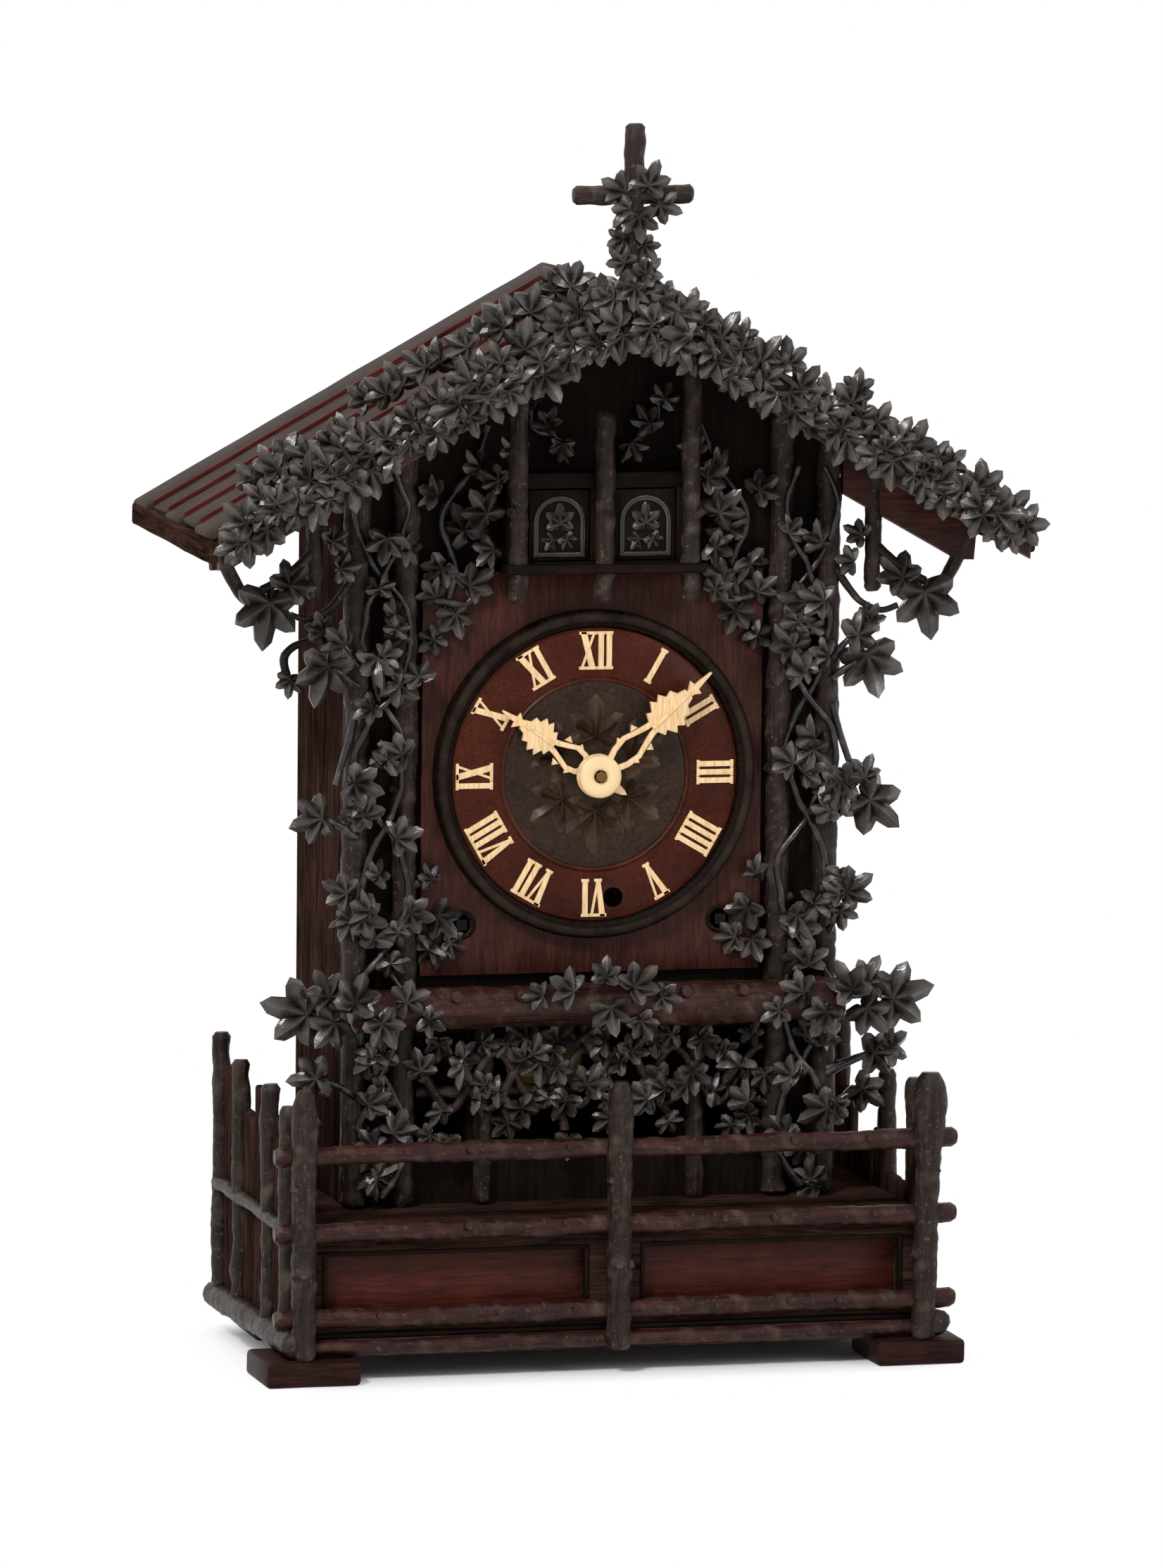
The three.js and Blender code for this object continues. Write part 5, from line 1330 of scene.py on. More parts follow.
@dataclass
class Roof:
    """Two slopes of loose boards over a red under-board, with ivy along the gable and a cross on top."""

    shop: Workshop
    front: float = -70
    back: float = 79
    length: float = 203
    boards: int = 5
    groove: float = 3.2
    under: float = 1.4
    fillet: float = 1.2
    eave_z: float = 347
    eave_tilt: float = 0.026
    sprigs: int = 19
    border: tuple[Flat, ...] = (
        (0.1, 426.5), (13, 425.5), (22, 423), (30, 419.5), (38, 414.5), (47, 409), (64, 398.5), (86, 385.5),
        (112, 371), (140, 356.5), (160, 345.5), (173, 338.5),
    )

    def build(self) -> None:
        """Make the slopes, the gable ivy and the cross."""
        for name, side in SIDES.items():
            self.slope(name, side)
            self.gable(name, side)
        self.cross()

    def slope(self, name: str, side: int) -> None:
        """Lay one slope's boards.

        Args:
            name: Name of the side.
            side: 1 for the right, -1 for the left.
        """
        rng = self.shop.rng
        shape = Shape()
        place = slope(side)
        pitch = (self.back - self.front) / self.boards
        for i in range(self.boards):
            low = self.front + i * pitch + (self.groove / 2 if i else 0)
            high = self.front + (i + 1) * pitch - (self.groove / 2 if i < self.boards - 1 else 0)
            proud = rng.uniform(-0.5, 0.5)
            start = (-1.5 if side < 0 else 1.5) + rng.uniform(-1.2, 1.2)
            end = self.length + rng.uniform(-2.5, 1.0)
            shape.board((start, low, -4.2 + proud), (end, high, proud), Axis.X, 1.6, 0.35, 14, place)
        self.shop.solid(f"roof_boards_{name}", shape, Stuff.ROOF, node=f"roof_{name}")
        ground = Shape()
        inner = (4 if side > 0 else 4.4, self.front + 1, -7)
        ground.board(inner, (self.length - 3, self.back - 1, -self.under), Axis.X, 0.4, place=place)
        for i in range(1, self.boards):
            y = self.front + i * pitch
            ground.board((6, y - 0.9, -2), (self.length - 4, y + 0.9, self.fillet), Axis.X, 0.4, place=place)
        self.shop.solid(f"roof_ground_{name}", ground, Stuff.GROOVE)
        fascia = Shape()
        low, high = sorted((side * 171, side * 176.6))
        hinge = Vector((0, 0, self.eave_z))
        tilt = Matrix.Rotation(self.eave_tilt, 4, "X")
        tilt = Matrix.Translation(hinge) @ tilt @ Matrix.Translation(-hinge)
        fascia.board(
            (low, self.front + 0.6, self.eave_z - 4.5), (high, self.back - 0.6, self.eave_z + 5), Axis.Y, 1.4,
            0.4, 12, tilt,
        )
        self.shop.solid(f"eave_strip_{name}", fascia, Stuff.WALL)

    def border_low(self, x: float) -> float:
        """Find the lower edge of the gable border.

        Args:
            x: Distance from the middle.

        Returns:
            The height.
        """
        for (x0, z0), (x1, z1) in zip(self.border, self.border[1:]):
            if x <= x1:
                return z0 + (z1 - z0) * (x - x0) / (x1 - x0)
        return self.border[-1][1]

    def gable(self, name: str, side: int) -> None:
        """Carve the board and the ivy along one slope's front.

        Args:
            name: Name of the side.
            side: 1 for the right, -1 for the left.
        """
        rng = self.shop.rng
        shape = Shape()
        low = [(side * x, z) for x, z in self.border]
        top = [(side * x, roof_top(x) - 0.8) for x in (173, 0.1)]
        shape.prism([*low, *top], -74.6, -70.3, Axis.X, 0.9)
        self.shop.solid(f"gable_board_{name}", shape, Stuff.LOG, node=f"gable_carving_{name}")
        leaves, vines = [], []
        for row, (share, lift) in enumerate(((0.0, 0.5), (0.38, 0.0), (0.62, 0.0))):
            for i in range(self.sprigs):
                x = 5 + 158 * (i + 0.33 * row) / self.sprigs + rng.uniform(-2, 2)
                deep = roof_top(x) - self.border_low(x)
                z = roof_top(x) + lift - share * deep * (1.25 if x < 55 else 1.0) + rng.uniform(-1.5, 1.5)
                turn = (rng.uniform(-40, 75), rng.choice((-80, -30, 40, 95, 130)), rng.uniform(110, 230))[row]
                at = (side * x, -75.4 - 1.2 * ((i + row) % 2), z)
                leaves.append(self.shop.scatter(at, rng.uniform(9, 12.5), side * turn, 30))
        ends = {
            1: (
                (168, 353, 13.5, 95), (161, 358, 13, 45), (163, 349, 9, 170), (151, 368, 12, 0),
                (66, 421, 12, -5), (93, 405, 13, 12), (96, 410, 9, 5), (24, 443, 10, 10), (46, 432, 9, 25),
                (6, 436, 11, 165), (15, 431, 11, 140),
            ),
            -1: (
                (162, 358, 12, -50), (166, 350, 10, -110), (150, 366, 11, 10), (24, 443, 10, -10),
                (12, 449, 10, -20), (5, 433, 11, 195), (15, 430, 11, 220),
            ),
        }[side]
        for x, z, reach, turn in ends:
            leaves.append(self.shop.scatter((side * x, -76.6, z), reach, turn, 8, 0))
        for i in range(18 if side < 0 else 0):
            x = 24 + 142 * i / 18 + rng.uniform(-2.5, 2.5)
            at = (side * x, -72 + 5 * (i % 2), roof_top(x) + (15 if x < 115 else 9) + rng.uniform(-2, 2))
            leaves.append(self.shop.scatter(at, rng.uniform(9.5, 12), rng.uniform(-80, 30), 32))
        for wave in (0.0, 2.1):
            path = []
            for i in range(28):
                x = 4 + 158 * i / 27
                deep = roof_top(x) - self.border_low(x)
                path.append((side * x, -76, roof_top(x) - deep * (0.3 + 0.24 * sin(i * 0.85 + wave))))
            vines.append(Twig.vine(path, 1.9, 1.5))
        self.shop.ivy(f"gable_ivy_{name}", leaves)
        self.shop.twigs(f"gable_vine_{name}", vines, Stuff.CARVING, 8, 0.1, 3)

    def cross(self) -> None:
        """Carve the log cross with its leaves."""
        rng = self.shop.rng
        y = -74
        logs = [
            Twig.straight((0, y, 448), (0.5, y, 520), 4.1, rng, 0.2),
            Twig.straight((-25.4, y, 490.5), (25.2, y, 491), 3.9, rng, 0.2),
        ]
        self.shop.twigs("cross_logs", logs, sides=14, step=1.5, node="finial_cross")
        front = y - 4
        leaves = [
            Leaf((5, front - 0.5, 495), 11, 22, 6, -8, 0), Leaf((-5, front + 1, 492), 10.5, -60, 8, 12, 1),
            Leaf((10, front + 1, 487), 10, 110, -8, -14, 2), Leaf((1, front, 482), 11, 175, 12, 0, 0),
            Leaf((-3, front, 485), 9.5, 222, 10, 14, 1), Leaf((4, front + 1, 470), 8, 140, 12, -12, 2),
            Leaf((-5, front, 463), 9, -40, -10, 10, 0), Leaf((4, front - 1, 459), 9, 50, -8, -8, 1),
            Leaf((-1, front - 1, 453), 10, 185, 10, 0, 2), Leaf((-10, front, 449), 10, 245, 6, 10, 0),
            Leaf((-6, front + 0.5, 473), 8, 250, 6, 12, 2), Leaf((10, front, 448), 10, 118, 6, -10, 1),
        ]
        self.shop.ivy("cross_ivy", leaves)


@dataclass
class CaseBody:
    """The box of the case: front board, walls and rear door."""

    shop: Workshop

    def build(self) -> None:
        """Make the boards of the case."""
        self.shop.refined("case_front", Axis.Z, 0.5, Stuff.BOARD)
        for name in SIDES:
            self.shop.refined(f"case_side_{name}", Axis.Z, 0.9, Stuff.WALL)
        self.shop.refined("dial_board", Axis.Z, 0.6, Stuff.MAHOGANY)
        self.shop.refined("rear_door", Axis.Z, 0.8, Stuff.WALL, Body.REAR_DOOR)
        battens = Shape()
        for z in (112, 330):
            battens.board((-84, 76.8, z), (86, 80, z + 16), Axis.X, 0.9, 0.2, 8)
        self.shop.solid("rear_battens", battens, Stuff.WALL, body=Body.REAR_DOOR)
        stop = Shape()
        stop.board((93.6, 68.2, 66), (97.8, 70.6, 385), Axis.Z, 0.5, 0.1, 10)
        self.shop.solid("rear_door_stop", stop, Stuff.WALL)
        knob = Shape()
        knob.turned(
            [
                (0.01, 76.5), (4.5, 76.5), (3.4, 78.6), (4.2, 80.2), (6.4, 82), (6.6, 83.6), (4.8, 85.2),
                (0.01, 85.8),
            ],
            (78, 226), 28,
        )
        self.shop.solid("rear_knob", knob, Stuff.BRASS, slot="brass", body=Body.REAR_DOOR)


@dataclass
class FrontCarving:
    """Twig columns, the cross beam, the lower lattice and the sprays under the eaves."""

    shop: Workshop
    inner: float = 81
    outer: float = 101.5
    column_y: float = -17.8
    column_radius: float = 5.3
    beam_z: float = 150
    beam_y: float = -31.6
    beam_radius: float = 9

    def build(self) -> None:
        """Carve everything on the front of the case."""
        for name, side in SIDES.items():
            self.pilaster(name, side)
            self.bracket(name, side)
        self.beam()
        self.lattice()
        self.gable_field()

    def pilaster(self, name: str, side: int) -> None:
        """Carve two columns with the ivy that climbs them.

        Args:
            name: Name of the side.
            side: 1 for the right, -1 for the left.
        """
        rng = self.shop.rng
        twigs = []
        for x in (self.inner, self.outer):
            top = roof_top(x + 4.5) - ROOF_COVER
            foot, head = ((side * x, self.column_y, z) for z in (65.3, top))
            twigs.append(Twig.straight(foot, head, self.column_radius, rng))
            for z in range(96, int(top) - 20, 47):
                reach = rng.choice((-1, 1)) * rng.uniform(5.4, 6.6)
                start = (side * x, self.column_y - 1, z + rng.uniform(-9, 9))
                twigs.append(Twig([start, (start[0] + reach, start[1] - 2.5, start[2] + 3.5)], [2.2, 1.7]))
        self.shop.twigs(f"columns_{name}", twigs, node=f"pilaster_{name}")
        vines, leaves = [], []
        for phase, swing, depth in ((0.0, 9, -23.5), (pi, 12, -24)):
            path = []
            for i in range(40):
                z = 70 + (roof_top(self.outer) - 92) * i / 39
                x = 91.5 + swing * sin(i * 0.47 + phase) + rng.uniform(-1.5, 1.5)
                path.append((side * x, depth + 1.5 * cos(i * 0.47 + phase), z))
            vines.append(Twig.vine(path, 1.7, 1.2))
        clusters = (
            (90, 345, 2), (96, 320, 2), (91, 302, 4), (85, 287, 2), (92, 268, 1), (87, 249, 3), (99, 237, 4),
            (92, 222, 1), (98, 197, 3), (87, 187, 2), (92, 172, 2), (100, 134, 2), (90, 126, 3), (98, 110, 2),
            (89, 94, 3), (97, 77, 2),
        )
        for middle, height, count in clusters:
            for _ in range(count):
                x, z = middle + rng.uniform(-8, 8), height + rng.uniform(-9, 9)
                at = (side * x, -25 - rng.uniform(0, 4), z)
                leaves.append(self.shop.scatter(at, rng.uniform(8, 12.5), rng.uniform(0, 360), 34))
        outside = {
            1: [
                (117, 234, 18, 122), (115, 243, 11, 25), (108, 240, 11, -60), (109, 195, 13, 62),
                (106, 187, 11, 165), (117, 294, 17, 168), (111, 303, 12, 60), (121, 126, 14, 80),
                (128, 128, 12, 70), (116, 111, 12, 130),
            ],
            -1: [
                (119, 231, 14, -95), (108, 199, 11, -70), (106, 188, 10, -160), (117, 294, 16, -172),
                (111, 303, 12, -60), (119, 122, 12, -105),
            ],
        }[side]
        for x, z, reach, turn in outside:
            leaves.append(self.shop.scatter((side * x, -27, z), reach, turn, 16))
            start = (side * (self.outer + 1), -23, z - 9)
            middle = (side * (self.outer + x) / 2, -26, z - 4)
            vines.append(Twig.vine([start, middle, (side * (x - 2), -26.5, z - 1)], 1.7, 1.2))
        vines.append(Twig.vine(mirror(side, [(103, -22, 274), (106, -23, 262), (112, -25, 244)]), 1.7, 1.3))
        self.shop.twigs(f"column_vines_{name}", vines, Stuff.CARVING, 8, 0.12, 2.4)
        self.shop.ivy(f"column_ivy_{name}", leaves)

    def bracket(self, name: str, side: int) -> None:
        """Carve the spray that hangs under one eave.

        Args:
            name: Name of the side.
            side: 1 for the right, -1 for the left.
        """
        rng = self.shop.rng
        y = -20
        post = mirror(side, [(120.5, y, 321), (120.5, y, roof_top(124) - ROOF_COVER)])
        twigs = [Twig.straight(*post, 3.6, rng, 0.3)]
        bow = ((104, 331), (110, 322), (116, 316), (124, 313), (131, 315))
        for thick, thin, path in (
            (3.4, 2.6, [(164, y, roof_top(166) - 9), (160, y, 340), (153, y, 326), (145, y, 318)]),
            (2.2, 2.0, [(121, y - 1, 341), (131, y - 2, 332), (143, y - 1, 325)]),
            (1.7, 1.3, [(x, y - 2, z) for x, z in bow]),
            (1.8, 1.5, [(117, y - 2, 316), (119, y - 3, 309), (117, y - 4, 302)]),
        ):
            twigs.append(Twig.vine(mirror(side, path), thick, thin))
        leaves = [
            Leaf((142, y - 4, 320), 19, 172, 10, -8, 0), Leaf((132, y - 4, 327), 13, -40, -8, 10, 1),
            Leaf((114, y - 4, 345), 8, -60, -10, 12, 1), Leaf((118, y - 4, 308), 9, 20, 6, 0, 2),
            Leaf((110, y - 3, 334), 9, -80, 8, 16, 0),
        ]
        leaves = [leaf.mirrored(side) for leaf in leaves]
        if side < 0:
            hook = [(-120, y, 304), (-128, y, 302), (-133, y, 297), (-132, y, 289)]
            twigs.append(Twig.vine(hook, 1.5, 1.9))
            leaves.append(Leaf((-131, y - 2, 288), 8, 190, 6, 0, 2))
        self.shop.twigs(f"eave_twigs_{name}", twigs, Stuff.TWIG, 10, 0.12, 1.8, f"eave_bracket_{name}")
        plank = Shape()
        low = [(side * x, roof_top(x) - 31) for x in (106.5, 130, 157)]
        high = [(side * x, roof_top(x) - 8.7) for x in (166, 106.5)]
        plank.prism([*low, (side * 164.5, roof_top(164.5) - 27), *high], y - 2.4, y + 2.4, Axis.X, 0.8)
        self.shop.solid(f"eave_plank_{name}", plank, Stuff.MAHOGANY)
        self.shop.ivy(f"eave_ivy_{name}", leaves)

    def beam(self) -> None:
        """Carve the log across the front with leaves at its middle and ends."""
        rng = self.shop.rng
        ends = ((x, self.beam_y, self.beam_z) for x in (-106.5, 106.5))
        logs = [Twig.straight(*ends, self.beam_radius, rng, 0.4)]
        for x in (-66, -38, 33, 58):
            logs.append(Twig([(x, self.beam_y, 153), (x + 3, self.beam_y - 8.6, 156)], [3.0, 2.4]))
        for side in SIDES.values():
            logs.append(Twig.vine(mirror(side, [(98, -31, 150), (110, -33, 152), (124, -31, 152)]), 2.6, 1.9))
        self.shop.twigs("beam_log", logs, Stuff.LOG, 18, 0.06, node="cross_beam")
        front = self.beam_y - self.beam_radius
        leaves = [
            Leaf((-15, front - 1, 158), 12, -60, 8, 14, 0), Leaf((13, front - 1, 159), 12, 48, 8, -14, 1),
            Leaf((2, front - 1.5, 150), 12, 172, 12, 0, 2), Leaf((-27, front, 156), 8.5, -95, 4, 14, 1),
            Leaf((25, front, 154), 9, 100, 4, -14, 0), Leaf((0, front - 1, 163), 9, 8, -8, 0, 0),
            Leaf((16, front - 0.5, 144), 9, 150, 10, -10, 1),
        ]
        for side in SIDES.values():
            spray = [
                Leaf((127 if side > 0 else 126, -32, 150), 19, 76, 6, 6, 0),
                Leaf((115, -36, 146), 13, 140, 12, 6, 2), Leaf((116, -34, 157), 12, 30, 8, 6, 1),
                Leaf((107, front - 1, 155), 13, -20, -8, 10, 1),
                Leaf((96, front - 1, 146), 12, -150, 10, -8, 0),
                Leaf((86, front - 1, 155), 11, -70, 4, -8, 2), Leaf((76, front, 147), 9, -120, 4, -8, 0),
            ]
            leaves += [leaf.mirrored(side) for leaf in spray]
        self.shop.ivy("beam_ivy", leaves)

    def lattice(self) -> None:
        """Carve the twigs and leaves below the beam."""
        rng = self.shop.rng
        y = -17.3
        twigs = [Twig.straight((x, y, 65.3), (x, y, 140.5), 4, rng) for x in (-46, 46)]
        twigs.append(Twig.straight((-75, y, 113), (75, y, 113), 2.8, rng))
        for phase in (0.0, 2.6):
            path = [
                (-74 + 148 * i / 30, -21.5 - 1.5 * cos(i), 118 + 12 * sin(i * 0.8 + phase))
                for i in range(31)
            ]
            twigs.append(Twig.vine(path, 2.0, 1.6))
        for x in (-24, 22):
            angles = [pi * i / 10 for i in range(11)]
            path = [(x + 13 * cos(a), -20, 96 + 13 * sin(a)) for a in angles]
            twigs.append(Twig.vine(path, 2.0, 2.0))
        self.shop.twigs("lattice_twigs", twigs, node="lower_lattice")
        leaves = []
        for i in range(38):
            x = -72 + 144 * i / 37 + rng.uniform(-3, 3)
            z = 122 + 13 * sin(i * 2.3) + rng.uniform(-4, 3)
            at = (x, -23 - rng.uniform(0, 3), z)
            leaves.append(self.shop.scatter(at, rng.uniform(7.5, 11), rng.uniform(0, 360), 30))
        for x in (-70, -62, 61, 68, -10, 8, 33, -36):
            at = (x, -22.5, 99 + rng.uniform(-8, 6))
            leaves.append(self.shop.scatter(at, 8.5, rng.uniform(120, 240), 26))
        for x, z, turn in ((-29, 135, -60), (-16, 134, 50), (-23, 126, 170)):
            leaves.append(self.shop.scatter((x, -22, z), 11, turn, 12))
        self.shop.ivy("lattice_ivy", leaves)

    def gable_field(self) -> None:
        """Carve the leaves and tendrils on the front board round the dial and above the doors."""
        vines, leaves = [], []
        for side in SIDES.values():
            for thick, thin, path in (
                (2.2, 1.4, [(68, -16, 304), (60, -18, 332), (66, -18, 354), (53, -18, 374), (46, -17, 392)]),
                (1.8, 1.3, [(12, -16, 376), (18, -18, 388), (26, -17, 390), (28, -16, 402)]),
                (2.0, 1.4, [(74, -17, 322), (56, -21, 318), (51, -20, 330)]),
            ):
                vines.append(Twig.vine(mirror(side, path), thick, thin))
            for x, z, reach, turn in [
                (56, 348, 12, 20), (70, 364, 11, 60), (52, 374, 11, -30), (66, 334, 11, 140),
                (54, 326, 11, -60), (22, 392, 9, -20), (28, 402, 8, 30), (15, 384, 8, 160),
                (61, 314, 11, 200), (70, 322, 10, 40), (69, 304, 9, 120), (67, 188, 11, 210),
                (70, 174, 10, 150), (62, 176, 9, 250), (70, 203, 8, 20),
            ]:
                at = (side * x, -20.5 if z < 210 else -21, z)
                leaves.append(self.shop.scatter(at, reach, side * turn, 26))
        self.shop.twigs("front_tendrils", vines, Stuff.CARVING, 8, 0.12, 2.2)
        self.shop.ivy("front_ivy", leaves)


@dataclass
class BaseBox:
    """The plinth with its framed red panels, deck and feet."""

    shop: Workshop

    def build(self) -> None:
        """Make the plinth."""
        self.shop.refined("base_box", Axis.X, 0.8, Stuff.WALL)
        self.shop.refined("base_front_panel", Axis.X, 0.3, Stuff.RED)
        self.shop.refined("base_deck", Axis.X, 0.9, Stuff.WALL)
        for name, side in SIDES.items():
            self.shop.refined(f"foot_back_{name}", Axis.X, 1.8, Stuff.FOOT)
            foot = Shape()
            low, high = sorted((side * 111, side * (149.5 if side > 0 else 151)))
            foot.board((low, -75, 0), (high, -35, 10.5), Axis.X, 1.8, 0.3, 8)
            self.shop.solid(f"foot_front_{name}_block", foot, Stuff.FOOT, node=f"foot_front_{name}")
        self.mouldings()

    def mouldings(self) -> None:
        """Add the thin beads that frame the panels."""
        shape = Shape()
        for side in SIDES.values():
            ends = sorted((side * 12, side * 124))
            for z in (26, 52.4):
                shape.board((ends[0], -62.8, z - 0.2), (ends[1], -59.5, z + 1.8), Axis.X, 0.6, 0.1, 8)
            for x in ends:
                shape.board((x - 1, -62.8, 26), (x + 1, -59.5, 54), Axis.Z, 0.6)
        shape.board((-131.5, -64.0, 18.2), (131.5, -61, 20.4), Axis.X, 0.8, 0.15, 12)
        self.shop.solid("base_beads", shape, Stuff.BOARD)
        sill = [Twig.straight((-131, -64.6, 14.6), (131, -64.6, 14.6), 3.4, self.shop.rng, 0.4)]
        self.shop.twigs("base_sill_log", sill, Stuff.LOG)


@dataclass
class Fence:
    """The log fence round the plinth, with split slats along its sides."""

    shop: Workshop
    post_y: float = -69
    rail_y: float = -65.9
    top: float = 123
    post_places: tuple[tuple[str, float, float, float], ...] = (
        ("left", -134.5, 0, 5.6), ("centre", 0.0, 0, 5.4), ("right", 132.2, 2, 7.2),
    )
    rail_levels: tuple[tuple[str, float], ...] = (("top", 95.0), ("middle", 63.0), ("lower", 27.0))

    def build(self) -> None:
        """Grow the posts, the rails and the side fences."""
        rng = self.shop.rng
        levels = (10.9, 13, 18, 30, 48, 70, 90, 102, 110, 116, 120, self.top)
        for name, x, lean, head in self.post_places:
            path = [(x + lean * (z - 11) / 112, self.post_y, z) for z in levels]
            crown = [head, head, head * 0.92, head * 0.76, head * 0.5]
            logs = [Twig(path, [4.2, 5.0, 5.2, 5.1, 5.3, 5.1, 5.4, *crown])]
            for z in (44, 80, 108):
                reach = rng.choice((-1, 1)) * 5.6
                start, tip = (x, self.post_y - 1, z), (x + reach, self.post_y - 2.6, z + 3)
                logs.append(Twig([start, tip], [2.2, 1.7]))
            self.shop.twigs(f"post_{name}_log", logs, sides=14, node=f"fence_post_{name}")
        for name, z in self.rail_levels:
            logs = [Twig.straight((-146.5, self.rail_y, z), (146.5, self.rail_y, z), 4.2, rng, 0.5)]
            for x in (-96, -61, -28, 37, 72, 101):
                at = x + rng.uniform(-8, 8)
                logs.append(Twig([(at, self.rail_y, z), (at + 2, self.rail_y - 4.4, z + 1.5)], [1.9, 1.5]))
            self.shop.twigs(f"rail_{name}_log", logs, Stuff.LOG, node=f"fence_rail_{name}")
        for name, side in SIDES.items():
            self.flank(name, side)

    def flank(self, name: str, side: int) -> None:
        """Set the pickets, rails and split slats along one side.

        Args:
            name: Name of the side.
            side: 1 for the right, -1 for the left.
        """
        rng = self.shop.rng
        logs = []
        pickets, tops = {
            1: (((74.6, 127.5), (4, 114), (-36, 116)), (95, 71, 71, 88, 80, 80, 98, 108)),
            -1: (
                ((74.6, 127.5), (37, 121), (-18, 118.5), (-52, 114)), (96, 97, 104, 112, 101, 100, 112, 115),
            ),
        }[side]
        for y, top in pickets:
            logs.append(Twig.straight((side * 137.4, y, 18.6), (side * 137.4, y, top), 3.9, rng, 0.4))
        logs.append(Twig.straight((side * 138.6, -57.5, 63), (side * 138.6, 78, 63), 2.8, rng, 0.4))
        logs.append(Twig.straight((side * 138.4, -72, 17), (side * 138, 84, 13.5), 5.4, rng, 0.4))
        self.shop.twigs(f"side_fence_{name}", logs, node=f"fence_side_{name}")
        slats = Shape()
        wide = 134 / len(tops)
        for i, top in enumerate(tops):
            y = -56 + i * wide
            depth = rng.uniform(0, 0.8)
            low, high = sorted((side * (132.6 + depth), side * (136.4 + depth)))
            far = (high, y + wide - 0.2, top + rng.uniform(-2, 2))
            slats.board((low, y + 0.2, 18.6), far, Axis.Z, 1.1, 0.5, 10)
        self.shop.solid(f"side_slats_{name}", slats, Stuff.WALL)


@dataclass
class Dial:
    """The bezel, the chapter ring with bone numerals, the carved middle and the bone hands."""

    shop: Workshop
    face_y: float = -22
    numeral_inner: float = 44.0
    numeral_height: float = 16.0
    serif: float = 1.3

    NUMERALS = ("XII", "I", "II", "III", "IIII", "V", "VI", "VII", "VIII", "IX", "X", "XI")

    def build(self) -> None:
        """Make the dial."""
        self.bezel()
        self.face()
        self.numerals()
        self.hand("hour", Body.HOUR, 50, 304, 4.8, 9.2, -26.8)
        self.hand("minute", Body.MINUTE, 64, 48, 2.8, 9.0, -30.3)

    def bezel(self) -> None:
        """Turn the bezel."""
        # The bead's crown takes the paler crest colour, a painted highlight as well as scuffing.
        shape = Shape()
        shape.turned(
            [
                (62, -18), (62, -22.4), (62.6, -23.6), (63.6, -24), (64.2, -24.9), (65, -25.8), (66.2, -26),
                (67.4, -25.6), (68.4, -24.6), (69, -23), (69, -18),
            ],
            (0, DIAL_Z), 128, crests=(5, 6, 7),
        )
        self.shop.solid("bezel_ring", shape, Stuff.BOARD, node="dial_bezel")

    def face(self) -> None:
        """Turn the chapter ring and carve the middle."""
        ring = Shape()
        ring.turned(
            [
                (39.2, -18), (39.2, -22.6), (40, -23), (40.8, -22.6), (41.2, -22), (61.2, -22), (61.7, -21.6),
                (61.7, -18),
            ],
            (0, DIAL_Z), 128, crests=(2,),
        )
        self.shop.solid("chapter_ring", ring, Stuff.DIAL, node="dial_plate", slot="red_wood")
        middle = Shape()
        middle.turned(
            [
                (5, -18), (5, -23.4), (9, -23.4), (12, -22.6), (32, -22.4), (37, -22.8), (39.1, -22.2),
                (39.1, -18),
            ],
            (0, DIAL_Z), 96,
        )
        self.shop.solid("dial_middle", middle, Stuff.WALNUT)
        leaves = []
        for x, z, reach, turn in [
            (0, -15, 18, 180), (-14, -10, 16, 236), (14, -10, 16, 124), (-15, 9, 16, -62), (15, 9, 16, 62),
            (0, 16, 17, 0),
        ]:
            leaves.append(Leaf((x, -22.5, DIAL_Z + z), reach, turn, 0, 0, 3))
        self.shop.ivy("dial_ivy", leaves, Stuff.WALNUT)
        bush = Shape()
        for x in (-56, 56):
            bush.turned([(4.6, -17), (4.6, -18.6), (5.4, -18.9), (6.2, -18.4), (6.2, -17)], (x, 183.39), 32)
        self.shop.solid("winding_bushes", bush, Stuff.BOARD)
        # The regulator hole is not cut: this flat black disc on the face is painted shade in its place.
        hole = Shape()
        rim = [(0.01, -22.02), (3.4, -22.02), (3.9, -22.2), (4.2, -22.0), (4.2, -21), (0.01, -21)]
        hole.turned(rim, (8.4, 194), 28)
        self.shop.solid("regulator_hole", hole, Stuff.PAINTED_HOLE_SHADE)

    def glyph(self, text: str) -> list[list[Flat]]:
        """Draw one numeral as strokes.

        Args:
            text: The numeral.

        Returns:
            Outlines of its strokes and serifs, centred across, from 0 up.
        """

        def box(left: float, right: float, low: float, high: float) -> list[Flat]:
            """Outline an upright stroke or a serif."""
            return [(left, low), (right, low), (right, high), (left, high)]

        high = self.numeral_height
        widths = {"I": 3.5, "V": 7.6, "X": 7.8}
        total = sum(widths[c] for c in text)
        outlines: list[list[Flat]] = []
        at = -total / 2
        for letter in text:
            wide = widths[letter]
            left, right, middle = at + 0.5, at + wide - 0.5, at + wide / 2
            if letter == "I":
                outlines.append(box(middle - 1.15, middle + 1.15, 0, high))
            elif letter == "V":
                outlines.append([(left, high), (left + 2.6, high), (middle + 0.9, 0), (middle - 0.9, 0)])
                outlines.append([(right - 1.1, high), (right, high), (middle + 0.5, 0), (middle - 0.6, 0)])
            else:
                outlines.append([(left, high), (left + 2.7, high), (right, 0), (right - 2.7, 0)])
                outlines.append([(right - 1.1, high), (right, high), (left + 1.1, 0), (left, 0)])
            foot = (middle - 1.6, middle + 1.6) if letter == "V" else (at + 0.1, at + wide - 0.1)
            outlines.append(box(*foot, 0, self.serif))
            outlines.append(box(at + 0.1, at + wide - 0.1, high - self.serif, high))
            at += wide
        return outlines

    def numerals(self) -> None:
        """Inlay the bone numerals."""
        shape = Shape()
        for i, text in enumerate(self.NUMERALS):
            for k, outline in enumerate(self.glyph(text)):
                placed = on_dial(30 * i, [(self.numeral_inner + up, across) for across, up in outline])
